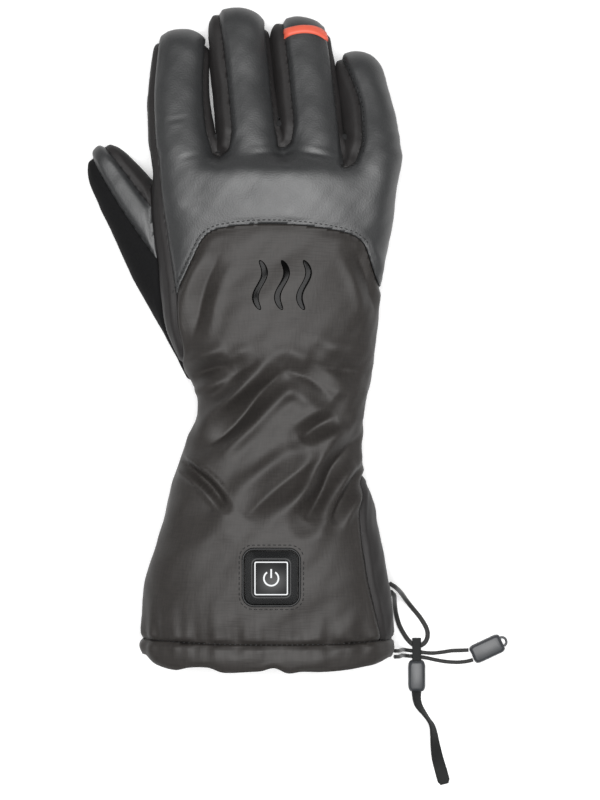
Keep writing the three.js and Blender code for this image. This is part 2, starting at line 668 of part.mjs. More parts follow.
// The webbing pull: a flat band that turns on edge where it twists.
function strapGeometry() {
  const along = STRAP_ROUTE.map((p, i) => i);
  const route = Array.from({ length: STRAP_STEPS + 1 }, (_, i) => {
    const t = (i / STRAP_STEPS) * (STRAP_ROUTE.length - 1);
    const value = (key) => spline(along, STRAP_ROUTE.map((p) => p[key]), t);
    const at = new THREE.Vector3(value("x"), value("y"), value("z"));
    return { at, turn: THREE.MathUtils.degToRad(value("turn")) };
  });
  const rings = route.map(({ at, turn }, i) => {
    const before = route[Math.max(i - 1, 0)].at;
    const after = route[Math.min(i + 1, STRAP_STEPS)].at;
    const forward = new THREE.Vector3().subVectors(after, before).normalize();
    const level = new THREE.Vector3().crossVectors(forward, new THREE.Vector3(0, 0, 1)).normalize();
    const side = level.applyAxisAngle(forward, turn).multiplyScalar(STRAP_WIDTH / 2);
    const up = new THREE.Vector3().crossVectors(side, forward).setLength(STRAP_THICKNESS / 2);
    const corner = (a, b) => at.clone().addScaledVector(side, a).addScaledVector(up, b);
    return [corner(1, -1), corner(1, 1), corner(-1, 1), corner(-1, -1)];
  });
  return skinOver(rings);
}

// The glove's skin, hollow and open at the cuff, and the thumb's, which opens into it.
const handInside = handSolid({ inset: true });
const thumbInside = thumbSolid({ inset: true });
const slots = fingers.slice(1).map((finger, i) => prism(fingerSlot(fingers[i], finger, CROTCHES[i])));
const handSkin = cutAll(handSolid({}), [handInside, thumbInside, ...slots]);
const thumbSkin = cutAll(thumbSolid({}), [thumbInside, handSolid({ margin: SEAM_GAP })]);

// Panels of the hand
const fourchettes = fingers.slice(1).map((finger, i) => ({
  name: `${fingers[i].name}_${finger.name}_side_panel`,
  outline: fourchetteOutline(fingers[i], finger, CROTCHES[i]),
}));
const upper = handSkin.subtract(palmCutter(SEAM_GAP));
const stripOutline = sideStripOutline();
const widerStrip = prism(stripOutline, SEAM_GAP);
const leather = prism(archOutline());
const palm = handSkin.intersect(palmCutter(0));
const widerFourchettes = fourchettes.map(({ outline }) => prism(outline, SEAM_GAP));
const backLeather = cutAll(upper.intersect(leather), [widerStrip, ...widerFourchettes]);
const sideStrip = upper.intersect(prism(stripOutline));

// Cuff, gusset and hem
const hemTop = box([-REACH, -REACH, -REACH], [REACH, HEM_HEIGHT, REACH]);
const hem = handSkin.intersect(hemTop);
const widerHemTop = box([-REACH, -REACH, -REACH], [REACH, HEM_HEIGHT + SEAM_GAP, REACH]);
const fabric = cutAll(upper, [prism(archOutline(), SEAM_GAP), widerStrip, widerHemTop]);
const gusset = fabric.intersect(prism(gussetOutline()));

// Heat control: a tray let into a window of the cuff, with the push button running in it.
const controlY = CONTROL_AT.along * GLOVE_LENGTH;
const cuffTop = sectionAt(handSections, controlY);
const controlPlace = new THREE.Matrix4()
  .makeTranslation(CONTROL_AT.across * HAND_WIDTH, controlY, cuffTop.z + cuffTop.up);
const squareSolid = (levels) => solid(skinOver(ringsOf(levels)), controlPlace);
const square = (size, corner, low, high) => squareSolid([high, low].map((z) => ({ size, corner, z })));
const wellSize = CONTROL_SIZE - 2 * CONTROL_WALL;
const wellCorner = CONTROL_CORNER - CONTROL_WALL;
const wellFloor = CONTROL_LIP - CONTROL_DEPTH + CONTROL_WALL;
const tray = square(CONTROL_SIZE, CONTROL_CORNER, CONTROL_LIP - CONTROL_DEPTH, CONTROL_LIP)
  .subtract(square(wellSize, wellCorner, wellFloor, CONTROL_LIP + CONTROL_WALL));
const buttonSize = wellSize - 2 * RUNNING_CLEARANCE;
const buttonCorner = wellCorner - RUNNING_CLEARANCE;
const buttonFoot = wellFloor + BUTTON_TRAVEL + RUNNING_CLEARANCE;
const buttonTop = CONTROL_LIP + BUTTON_HEIGHT;
const shoulder = CONTROL_LIP + BUTTON_SKIRT;
const faceSize = buttonSize - 2 * BUTTON_BEVEL;
const faceCorner = buttonCorner / 2;
const button = squareSolid([
  { size: faceSize, corner: faceCorner, z: buttonTop },
  { size: faceSize + 2 * BUTTON_EDGE, corner: faceCorner + BUTTON_EDGE / 2, z: buttonTop - BUTTON_EDGE / 2 },
  { size: buttonSize - BUTTON_EDGE, corner: buttonCorner - BUTTON_EDGE / 2, z: shoulder },
  { size: buttonSize, corner: buttonCorner, z: shoulder - BUTTON_EDGE },
  { size: buttonSize, corner: buttonCorner, z: buttonFoot },
]);
const windowSize = CONTROL_SIZE + 2 * SEAM_GAP;
const windowCut = square(windowSize, CONTROL_CORNER + SEAM_GAP, -2 * CONTROL_DEPTH, 2 * CONTROL_DEPTH);
const cuff = cutAll(fabric, [prism(gussetOutline(), SEAM_GAP), windowCut]);

// The bright strip sewn over the ring fingertip
const ring = fingers[2];
function accentOutline() {
  const tip = ring.reach * GLOVE_LENGTH;
  const shares = Array.from({ length: PLAN_STEPS + 1 }, (_, i) => mix(...ACCENT_SPAN, i / PLAN_STEPS));
  const edge = (drop) =>
    shares.map((share) => {
      const y = tip - drop - ACCENT_DROP * (share - ACCENT_CROWN) ** 2;
      return new THREE.Vector2(across(ring, y, share), y);
    });
  return [...edge(ACCENT_DROP), ...edge(ACCENT_DROP + ACCENT_WIDTH).reverse()];
}
const ringTube = (margin) => solid(tube(ring.sections, FINGER_OUTER, { margin }));
const accent = ringTube(SEAM_GAP + ACCENT_THICKNESS)
  .subtract(ringTube(SEAM_GAP))
  .intersect(prism(accentOutline(), 0, ring.sections[2].z));

// Panels of the thumb
const thumbPalmTop = below(THUMB_PALM_HEIGHT * THUMB_THICKNESS);
const thumbUpper = thumbSkin.subtract(below(THUMB_PALM_HEIGHT * THUMB_THICKNESS + SEAM_GAP));
const thumbPalm = thumbSkin.intersect(thumbPalmTop);
const thumbStrip = thumbUpper.intersect(thumbPlan(THUMB_STRIP_LEFT, THUMB_STRIP_RIGHT));
const stripAndGaps = thumbPlan(THUMB_STRIP_LEFT, THUMB_STRIP_RIGHT, SEAM_GAP);
const thumbInner = thumbUpper.intersect(thumbPlan(THUMB_STRIP_LEFT, THUMB_OUTSIDE)).subtract(stripAndGaps);
const thumbOuter = thumbUpper.subtract(thumbPlan(THUMB_STRIP_LEFT, THUMB_OUTSIDE, SEAM_GAP));

// The lock and the end piece: moulded slabs on the ground, with round corners.
function slab(width, length, thickness, corner, [x, y], low, turn = 0) {
  const shape = new THREE.Shape();
  const [a, b] = [width / 2, length / 2];
  shape.moveTo(-a + corner, -b);
  shape.lineTo(a - corner, -b);
  shape.quadraticCurveTo(a, -b, a, -b + corner);
  shape.lineTo(a, b - corner);
  shape.quadraticCurveTo(a, b, a - corner, b);
  shape.lineTo(-a + corner, b);
  shape.quadraticCurveTo(-a, b, -a, b - corner);
  shape.lineTo(-a, -b + corner);
  shape.quadraticCurveTo(-a, -b, -a + corner, -b);
  const options = { depth: thickness, bevelEnabled: false, curveSegments: SLAB_CORNER_STEPS };
  const geometry = new THREE.ExtrudeGeometry(shape, options);
  const spin = new THREE.Matrix4().makeRotationZ(THREE.MathUtils.degToRad(turn));
  return solid(geometry, new THREE.Matrix4().makeTranslation(x, y, low).multiply(spin));
}
const strapHeight = STRAP_ROUTE[0].z;
const slotHalf = [STRAP_WIDTH / 2 + RUNNING_CLEARANCE, STRAP_THICKNESS / 2 + RUNNING_CLEARANCE];
const strapSlot = box(
  [LOCK_AT[0] - slotHalf[0], -GLOVE_LENGTH, strapHeight - slotHalf[1]],
  [LOCK_AT[0] + slotHalf[0], GLOVE_LENGTH, strapHeight + slotHalf[1]],
);
const lockLow = strapHeight - LOCK_THICKNESS / 2;
const footAt = [LOCK_AT[0], LOCK_AT[1] - (LOCK_LENGTH - LOCK_FOOT_LENGTH) / 2];
const footLow = strapHeight - LOCK_FOOT_THICKNESS / 2;
const cordLock = slab(LOCK_WIDTH, LOCK_LENGTH, LOCK_THICKNESS, LOCK_CORNER, LOCK_AT, lockLow)
  .add(slab(LOCK_FOOT_WIDTH, LOCK_FOOT_LENGTH, LOCK_FOOT_THICKNESS, LOCK_CORNER / 2, footAt, footLow))
  .subtract(strapSlot);
const cordEnd = slab(END_LENGTH, END_WIDTH, END_THICKNESS, END_CORNER, END_AT, 0, END_TURN_DEG);

const paint = (color, roughness) => new THREE.MeshStandardMaterial({ color, roughness, metalness: 0 });
const paints = {
  leather: paint(0x3a3b3c, 0.45),
  fabric: paint(0x3c3937, 0.75),
  side_fabric: paint(0x2c2927, 0.8),
  suede: paint(0x17181a, 0.9),
  accent: paint(0xe8604a, 0.55),
  control: paint(0x232425, 0.4),
  plastic: paint(0x4a4b4c, 0.4),
  cord: paint(0x2a2b2a, 0.8),
};

function geometryOf(shape) {
  const mesh = largest(shape.simplify(FACET_SLACK)).getMesh();
  const geometry = new THREE.BufferGeometry();
  const positions = new Float32Array(mesh.numVert * 3);
  for (let i = 0; i < mesh.numVert; i += 1) {
    const from = i * mesh.numProp;
    positions.set(mesh.vertProperties.subarray(from, from + 3), i * 3);
  }
  geometry.setAttribute("position", new THREE.BufferAttribute(positions, 3));
  geometry.setIndex(new THREE.BufferAttribute(mesh.triVerts, 1));
  return geometry;
}

const glove = new THREE.Group();
const cords = new THREE.Group();
function add(group, name, shape, material) {
  const mesh = new THREE.Mesh(shape.isBufferGeometry ? shape : geometryOf(shape), material);
  mesh.name = name;
  group.add(mesh);
  return mesh;
}

add(glove, "back_leather", backLeather, paints.leather);
add(glove, "palm_leather", palm, paints.leather);
add(glove, "index_side_strip", sideStrip, paints.side_fabric);
for (const { name, outline } of fourchettes) {
  add(glove, name, upper.intersect(prism(outline)), paints.side_fabric);
}
add(glove, "thumb_strip", thumbStrip, paints.leather);
add(glove, "thumb_inner_panel", thumbInner, paints.side_fabric);
add(glove, "thumb_outer_panel", thumbOuter, paints.suede);
add(glove, "thumb_palm_panel", thumbPalm, paints.leather);
add(glove, "cuff", cuff, paints.fabric);
add(glove, "cuff_gusset", gusset, paints.side_fabric);
add(glove, "hem", hem, paints.fabric);
add(glove, "accent_strip", accent, paints.accent);
add(glove, "control_tray", tray, paints.control);
add(glove, "control_button", button, paints.control);

const drawCord = (route) => cordGeometry(route, DRAW_CORD_DIAMETER, DRAW_CORD_STEPS);
add(cords, "loop_cord", cordGeometry(LOOP_CORD_ROUTE, LOOP_CORD_DIAMETER, LOOP_CORD_STEPS), paints.cord);
add(cords, "draw_cord_upper", drawCord(DRAW_CORD_UPPER), paints.cord);
add(cords, "draw_cord_lower", drawCord(DRAW_CORD_LOWER), paints.cord);
add(cords, "pull_strap", strapGeometry(), paints.cord);
add(cords, "cord_lock", cordLock, paints.plastic);
add(cords, "cord_end", cordEnd, paints.plastic);

const parts = new THREE.Group();
parts.add(glove, cords);
const bounds = new THREE.Box3().setFromObject(glove);
const middle = bounds.getCenter(new THREE.Vector3());
parts.position.set(-middle.x, -middle.y, 0);

export default parts;
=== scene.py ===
"""A heated winter glove for the right hand, lying palm down: looks for the fixed frame of its solids.

The glove's padded skin is lofted from tables of cross-sections, remeshed into one surface, cut along its
seams into panels, folded, and given its walls. Stitches, the heat control, the bright strip, the cords and
what hangs on them are modelled on top. Shapes are worked out in millimetres, +X towards the little finger,
+Y from the hem to the fingertips, +Z up out of the back of the hand, and moved into the frame at the end.
"""

import json
import math

import bmesh
import bpy
import numpy as np
from mathutils import Matrix, Vector
from mathutils.bvhtree import BVHTree
from mathutils.kdtree import KDTree

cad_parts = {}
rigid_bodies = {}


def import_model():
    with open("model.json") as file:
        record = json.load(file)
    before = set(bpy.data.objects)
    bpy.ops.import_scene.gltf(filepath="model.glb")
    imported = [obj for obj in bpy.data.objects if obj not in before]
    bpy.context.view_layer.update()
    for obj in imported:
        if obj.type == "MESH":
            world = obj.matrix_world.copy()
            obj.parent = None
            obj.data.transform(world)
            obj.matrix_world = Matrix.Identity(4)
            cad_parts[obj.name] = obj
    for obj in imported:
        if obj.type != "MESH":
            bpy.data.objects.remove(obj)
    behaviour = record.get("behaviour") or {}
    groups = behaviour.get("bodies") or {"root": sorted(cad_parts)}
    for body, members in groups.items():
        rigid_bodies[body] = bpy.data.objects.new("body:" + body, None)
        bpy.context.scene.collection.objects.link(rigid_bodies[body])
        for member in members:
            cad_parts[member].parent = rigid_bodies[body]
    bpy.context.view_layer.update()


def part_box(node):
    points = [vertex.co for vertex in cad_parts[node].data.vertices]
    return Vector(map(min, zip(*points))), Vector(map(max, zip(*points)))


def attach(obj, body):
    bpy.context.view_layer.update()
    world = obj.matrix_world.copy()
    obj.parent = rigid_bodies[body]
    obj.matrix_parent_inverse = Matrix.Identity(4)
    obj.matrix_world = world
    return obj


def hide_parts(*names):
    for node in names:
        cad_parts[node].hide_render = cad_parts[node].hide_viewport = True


bl_info = {
    "name": "Heated Glove",
    "version": (1, 0, 0),
    "blender": (4, 5, 0),
    "location": "View3D > Sidebar > Glove",
    "description": "Models a padded heated glove around its packed solids",
    "category": "Object",
}

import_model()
GLOVE = "glove"
BUTTON = "button"
MM = 0.001


def linear(code):
    """The linear colour of an sRGB hex value such as 3a3b3c."""
    parts = [int(code[i:i + 2], 16) / 255 for i in (0, 2, 4)]
    return [c / 12.92 if c <= 0.04045 else ((c + 0.055) / 1.055) ** 2.4 for c in parts]


def rows(columns, lines):
    """A table with named columns, as a list of records."""
    names = columns.split()
    return [dict(zip(names, line)) for line in lines]


# Sizes and colours that a user would change

def length_of(name, description, millimetres):
    return bpy.props.FloatProperty(
        name=name, description=description, default=millimetres * MM, min=0, unit="LENGTH", precision=4)


def angle_of(name, description, degrees):
    return bpy.props.FloatProperty(
        name=name, description=description, default=math.radians(degrees), subtype="ANGLE")


def colour_of(name, description, code):
    return bpy.props.FloatVectorProperty(
        name=name, description=description, default=linear(code), size=3, min=0, max=1, subtype="COLOR")


class GloveSizes(bpy.types.PropertyGroup):
    """Driving sizes of the glove's body"""
    length: length_of("Length", "From the hem to the middle fingertip", 340)
    hand_width: length_of("Hand width", "Over the padded knuckles", 125)
    hand_thick: length_of("Hand thickness", "From palm to back", 50)
    wrist_width: length_of("Wrist width", "Where the cuff is drawn in", 84)
    wrist_thick: length_of("Wrist thickness", "Where the cuff is drawn in", 49)
    hem_width: length_of("Hem width", "Across the open end", 130)
    hem_thick: length_of("Hem thickness", "Height of the open end", 56)
    hem_height: length_of("Hem height", "Depth of the drawcord channel", 16.2)
    finger_width: length_of("Finger width", "Of one padded finger", 32)
    finger_thick: length_of("Finger thickness", "Of one padded finger", 28)
    finger_gap: length_of("Finger gap", "Between neighbouring fingers", 0.9)
    thumb_width: length_of("Thumb width", "Of the padded thumb", 32)
    thumb_thick: length_of("Thumb thickness", "Of the padded thumb", 29)
    thumb_length: length_of("Thumb length", "From inside the palm to the tip", 129)
    thumb_splay: angle_of("Thumb splay", "How far the thumb is turned outwards", 31)
    wall: length_of("Wall", "Shell, padding and lining together", 2.6)


class GloveSurface(bpy.types.PropertyGroup):
    """How finely the skin is made, and its seams and folds"""
    grain: length_of("Skin grain", "Size of the skin's faces", 1.25)
    seam_depth: length_of("Seam depth", "How deep a turned seam lies", 1.3)
    lap_rise: length_of("Lap rise", "How far the leather stands over the fabric", 0.5)
    puff: length_of("Puff", "How far a padded panel swells between its seams", 0.9)
    fold_depth: length_of("Fold depth", "Depth of the deepest fold in the cuff", 7.5)
    stitch_length: length_of("Stitch length", "Visible length of one stitch", 1.7)
    stitch_pitch: length_of("Stitch pitch", "From one stitch to the next", 2.6)
    thread: length_of("Thread", "Thickness of the sewing thread", 0.55)


class GloveCords(bpy.types.PropertyGroup):
    """The loose cords and the webbing pull"""
    loop_diameter: length_of("Loop cord", "Diameter of the elastic loop", 2.4)
    draw_diameter: length_of("Drawcord", "Diameter of the hem's drawcord", 2)
    strap_width: length_of("Pull width", "Width of the webbing pull", 6.4)
    strap_thick: length_of("Pull thickness", "Thickness of the webbing pull", 1.2)


class GloveColours(bpy.types.PropertyGroup):
    """Base colours of the finishes"""
    leather: colour_of("Leather", "Padded leather of the fingers and palm", "202122")
    fabric: colour_of("Shell fabric", "Woven shell of the cuff", "282523")
    side_fabric: colour_of("Side fabric", "Stretch fabric between the fingers", "201e1e")
    suede: colour_of("Suede", "Brushed panel of the thumb", "0f0f10")
    film: colour_of("Gloss film", "Heat-set film of the sign on the back", "060606")
    accent: colour_of("Bright strip", "Strip over the ring fingertip", "d65c45")
    control: colour_of("Control", "Rubbery heat control", "131415")
    mark: colour_of("Mark", "Printed mark on the control", "c8cacb")
    cord: colour_of("Cord", "Braided elastic cord", "1b1b1a")
    webbing: colour_of("Webbing", "Narrow woven pull", "191a1a")
    moulding: colour_of("Moulding", "Cord lock and end piece", "35373a")
    lining: colour_of("Lining", "Brushed lining inside", "1b1b1c")
    thread: colour_of("Thread", "Sewing thread", "101011")


class GloveStage(bpy.types.PropertyGroup):
    """Floor, light and camera"""
    floor: colour_of("Floor", "Plain pale floor", "eeeeee")
    softbox: length_of("Softbox", "Side of the square light overhead", 1000)
    softbox_height: length_of("Softbox height", "Above the floor", 1380)
    softbox_power: bpy.props.FloatProperty(
        name="Softbox power", description="Light overhead", default=31, unit="POWER")
    lens: bpy.props.FloatProperty(
        name="Lens", description="Focal length of the camera", default=115, unit="CAMERA")
    distance: length_of("Camera distance", "Above the middle of the fingers' height", 1303)


GROUPS = {
    "glove_sizes": GloveSizes,
    "glove_surface": GloveSurface,
    "glove_cords": GloveCords,
    "glove_colours": GloveColours,
    "glove_stage": GloveStage,
}

# Cross-sections of the cuff and hand. at is a share of the length from the hem, left and right are shares of
# the named width, top is a share of the named thickness, middle is where the widest point lies as a share of
# the top, and sole is how far the round section would sink into the ground.
HAND_ROWS = rows(
    "at width left right thick top middle sole",
    [
        [-0.05, "hem_width", 0.5, 0.44, "hem_thick", 0.88, 0.5, 0.02],
        [0.0, "hem_width", 0.51, 0.452, "hem_thick", 0.93, 0.5, 0.02],
        [0.024, "hem_width", 0.527, 0.465, "hem_thick", 0.97, 0.5, 0.03],
        [0.047, "hem_width", 0.53, 0.469, "hem_thick", 0.97, 0.5, 0.03],
        [0.106, "hem_width", 0.514, 0.458, "hem_thick", 1.0, 0.5, 0.04],
        [0.153, "hem_width", 0.494, 0.435, "hem_thick", 1.01, 0.5, 0.04],
        [0.226, "hem_width", 0.438, 0.395, "hem_thick", 0.98, 0.5, 0.03],
        [0.288, "wrist_width", 0.612, 0.548, "wrist_thick", 1.07, 0.5, 0.02],
        [0.347, "wrist_width", 0.535, 0.54, "wrist_thick", 1.01, 0.51, -0.03],
        [0.376, "wrist_width", 0.472, 0.527, "wrist_thick", 1.0, 0.52, -0.04],
        [0.406, "wrist_width", 0.462, 0.552, "wrist_thick", 1.0, 0.52, -0.03],
        [0.453, "wrist_width", 0.546, 0.583, "wrist_thick", 1.04, 0.52, 0.0],
        [0.515, "hand_width", 0.44, 0.416, "hand_thick", 1.03, 0.54, 0.05],
        [0.588, "hand_width", 0.47, 0.431, "hand_thick", 1.01, 0.54, 0.07],
        [0.632, "hand_width", 0.478, 0.46, "hand_thick", 0.98, 0.54, 0.07],
        [0.676, "hand_width", 0.484, 0.482, "hand_thick", 0.98, 0.54, 0.05],
        [0.72, "hand_width", 0.49, 0.492, "hand_thick", 1.0, 0.54, 0.0],
        [0.763, "hand_width", 0.49, 0.488, "hand_thick", 1.02, 0.54, -0.05],
    ],
)
# Fingers. root to tip are where the centreline lies across the hand, as shares of its width, and wide_* are
# shares of the finger width. reach is the tip, as a share of the length.
FINGERS = rows(
    "name root base mid tip reach wide_root wide_base wide_mid wide_tip",
    [
        ["index", -0.34, -0.37, -0.394, -0.382, 0.969, 1.0, 1.06, 0.96, 0.86],
        ["middle", -0.08, -0.094, -0.13, -0.166, 1.0, 1.0, 1.0, 1.0, 0.94],
        ["ring", 0.165, 0.163, 0.13, 0.094, 0.986, 1.0, 1.02, 1.02, 0.94],
        ["little", 0.345, 0.393, 0.376, 0.325, 0.934, 0.84, 0.93, 0.86, 0.72],
    ],
)
# Where the leather of each finger's back ends, as shares of its half width, at the SEAM_STATIONS
SEAM_STATIONS = [0, 0.4, 0.7, 1]
FINGER_SEAMS = {
    "index": {"left": [-0.8, -0.83, -0.86, -0.88], "right": [0.86, 0.86, 0.9, 0.94]},
    "middle": {"left": [-0.66, -0.58, -0.52, -0.6], "right": [0.86, 0.87, 0.93, 0.98]},
    "ring": {"left": [-0.68, -0.6, -0.54, -0.58], "right": [0.84, 0.86, 0.9, 0.93]},
    "little": {"left": [-0.5, -0.4, -0.27, -0.72], "right": [1.2, 1.2, 1.2, 1.2]},
}
# Stations along each finger: share of the way to the tip, then height and half height by its thickness
FINGER_STATIONS = rows(
    "share lift half",
    [
        [0.0, 1.0, 0.56],
        [0.32, 1.0, 0.57],
        [0.65, 0.74, 0.49],
        [1.0, 0.44, 0.42],
    ],
)
# Where the fingers start inside the hand and where they part, as shares of the length
FINGER_ROOT = 0.67
CROTCHES = [0.778, 0.789, 0.758]
# A side panel's foot: size of its tongue, its narrowed share at the crotch, and how far it tapers
CROTCH_TONGUE = 1.6
CROTCH_NARROW = 0.6
CROTCH_TAPER = 12
WEB = 5
# The palm's leather starts at this share of the length, and its seam lies this far below the fingers' middle
PALM_START = 0.455
PALM_SEAM_DROP = 4
# Round ends of the tubes, and the exponent of their sections: 2 is an ellipse, more is squarer
KNUCKLE_ROUND = 6
FINGERTIP_ROUND = 13
ROUNDNESS = 2.3

THUMB_ROOT = {"across": -0.192, "along": 0.4706}
THUMB_ROWS = rows(
    "share left right lift half",
    [
        [0.0, 0.72, 0.5, 0.7, 0.62],
        [0.2, 0.66, 0.52, 0.62, 0.58],
        [0.38, 0.655, 0.52, 0.52, 0.52],
        [0.54, 0.6, 0.5, 0.5, 0.5],
        [0.72, 0.556, 0.46, 0.48, 0.48],
        [0.885, 0.46, 0.34, 0.44, 0.44],
        [1.0, 0.36, 0.18, 0.42, 0.42],
    ],
)
# Edges of the thumb's strip at its root and tip as shares of the half width, and the palm panel's height
THUMB_STRIP_LEFT = [0.02, -0.62]
THUMB_STRIP_RIGHT = [0.56, 0.3]
THUMB_PALM_HEIGHT = 0.3

# The arch where the leather of the back gives way to fabric, as [across, along]
ARCH = {
    "left_foot": [-0.405, 0.5595],
    "left_shoulder": [-0.298, 0.642],
    "left_turn": [-0.275, 0.6555],
    "left_top": [-0.228, 0.6604],
    "crown": [-0.012, 0.676],
    "right_top": [0.261, 0.657],
    "right_turn": [0.337, 0.6515],
    "right_shoulder": [0.363, 0.6375],
    "right_foot": [0.45, 0.556],
}
# The fabric strip along the thumb side, and the gusset on the other: seams as shares of the half width
SIDE_SEAM = rows(
    "at reach",
    [[0.425, 1.25], [0.465, 0.98], [0.513, 0.9], [0.573, 0.872], [0.655, 0.92], [0.723, 0.952],
     [0.768, 0.972]],
)
GUSSET_SEAM = rows(
    "at reach",
    [[0.02, 0.93], [0.1, 0.85], [0.153, 0.83], [0.235, 0.864], [0.305, 1.02]],
)

CONTROL_AT = {"across": -0.012, "along": 0.144}

# Folds in the cuff: points as [across, along], half width in millimetres, depth as a share of the deepest
FOLDS = rows(
    "line wide deep",
    [
        [[[-0.17, 0.462], [-0.26, 0.452], [-0.37, 0.438]], 4.1, 0.8],
        [[[0.043, 0.4526], [-0.055, 0.4191], [-0.146, 0.3833], [-0.27, 0.338]], 4.5, 1.0],
        [[[0.03, 0.4526], [0.14, 0.438], [0.238, 0.41]], 4.9, 0.55],
        [[[-0.06, 0.467], [-0.15, 0.447], [-0.26, 0.412]], 4.1, 0.45],
        [[[0.12, 0.468], [0.24, 0.453], [0.4, 0.452]], 5.7, 0.6],
        [[[0.251, 0.3833], [0.17, 0.368], [0.1, 0.349]], 3.7, 0.6],
        [[[0.19, 0.327], [0.062, 0.2948], [-0.055, 0.2589], [-0.12, 0.232]], 5.7, 0.65],
        [[[0.36, 0.357], [0.257, 0.3165], [0.192, 0.2707], [0.12, 0.228]], 4.5, 0.9],
        [[[0.37, 0.3068], [0.271, 0.2589], [0.225, 0.2249]], 3.3, 0.8],
        [[[-0.4, 0.322], [-0.269, 0.285], [-0.19, 0.25]], 2.1, 0.65],
        [[[-0.216, 0.624], [-0.286, 0.573], [-0.33, 0.5]], 4.1, 0.4],
        [[[0.314, 0.633], [0.371, 0.5955], [0.41, 0.54]], 4.1, 0.4],
    ],
)


# Smooth tables and soft tubes

def spline(xs, ys, x):
    """A smooth curve through (xs, ys) at the places x, flat outside them."""
    xs, ys, x = (np.asarray(a, float) for a in (xs, ys, x))
    before, after = np.maximum(np.arange(len(xs)) - 1, 0), np.minimum(np.arange(len(xs)) + 1, len(xs) - 1)
    slope = (ys[after] - ys[before]) / (xs[after] - xs[before])
    i = np.clip(np.searchsorted(xs, x, side="right") - 1, 0, len(xs) - 2)
    step, rise = xs[i + 1] - xs[i], ys[i + 1] - ys[i]
    t = np.clip((x - xs[i]) / step, 0, 1)
    bend, unbend = slope[i] * step - rise, rise - slope[i + 1] * step
    return ys[i] + rise * t + t * (1 - t) * (bend * (1 - t) + unbend * t)


def mix(a, b, t):
    return a + (b - a) * t


def ramp(x, start, end):
    """A smooth step from 0 at start to 1 at end."""
    t = np.clip((x - start) / (end - start), 0, 1)
    return t * t * (3 - 2 * t)


class Tube:
    """A soft tube along y: its cross-sections, and how far a point lies from its skin."""
    KEYS = ("x", "left", "right", "z", "up", "down")

    def __init__(self, sections, tip_round):
        self.y = np.array([s["y"] for s in sections])
        self.values = {key: np.array([s[key] for s in sections]) for key in self.KEYS}
        self.tip_round = tip_round

    def at(self, y):
        return {key: spline(self.y, self.values[key], y) for key in self.KEYS}

    def edge(self, y, share):
        """Where a share of the half width lies at y."""
        s = self.at(y)
        return s["x"] + share * np.where(np.asarray(share) < 0, s["left"], s["right"])

    def polar(self, points):
        """Where points lie in their sections: a size that is 1 on the skin, and an angle from the right."""
        s = self.at(points[:, 1])
        across, high = points[:, 0] - s["x"], points[:, 2] - s["z"]
        a = across / np.where(across < 0, s["left"], s["right"])
        b = high / np.where(high < 0, s["down"], s["up"])
        size = (np.abs(a) ** ROUNDNESS + np.abs(b) ** ROUNDNESS) ** (1 / ROUNDNESS)
        return size, np.arctan2(b, a), s

    def outside(self, points):
        """Roughly how far points lie outside the skin, in millimetres: below zero inside."""
        size, _, s = self.polar(points)
        start, end = self.y[0], self.y[-1]
        past = np.maximum(np.maximum(start - points[:, 1], points[:, 1] - end), 0)
        return (size - 1) * np.minimum(s["right"], s["up"]) + past

    def loft(self, bm, sides, rings, domes):
        """Adds the tube to bm as circles moved onto its sections and bridged, with round ends."""
        last = self.y[-1]
        ys = list(np.linspace(self.y[0], last - self.tip_round, rings))
        sizes = [1.0] * rings
        for i in range(1, domes + 1):
            angle = math.pi / 2 * i / (domes + 0.4)
            ys.append(last - self.tip_round * (1 - math.sin(angle) ** (2 / ROUNDNESS)))
            sizes.append(math.cos(angle) ** (2 / ROUNDNESS))
        loops = []
        for i, (y, size) in enumerate(zip(ys, sizes)):
            ends = i in (0, len(ys) - 1)
            made = bmesh.ops.create_circle(bm, cap_ends=ends, segments=sides, radius=1)["verts"]
            s = self.at(y)
            for v in made:
                cos, sin = v.co.x, v.co.y
                half = float(s["left"] if cos < 0 else s["right"])
                high = float(s["down"] if sin < 0 else s["up"])
                across = math.copysign(abs(cos) ** (2 / ROUNDNESS), cos) * size * half
                upward = math.copysign(abs(sin) ** (2 / ROUNDNESS), sin) * size * high
                v.co = (float(s["x"]) + across, y, float(s["z"]) + upward)
            loops.append([e for v in made for e in v.link_edges if e.verts[0] == v])
        for first, second in zip(loops, loops[1:]):
            bmesh.ops.bridge_loops(bm, edges=first + second)
        return bm


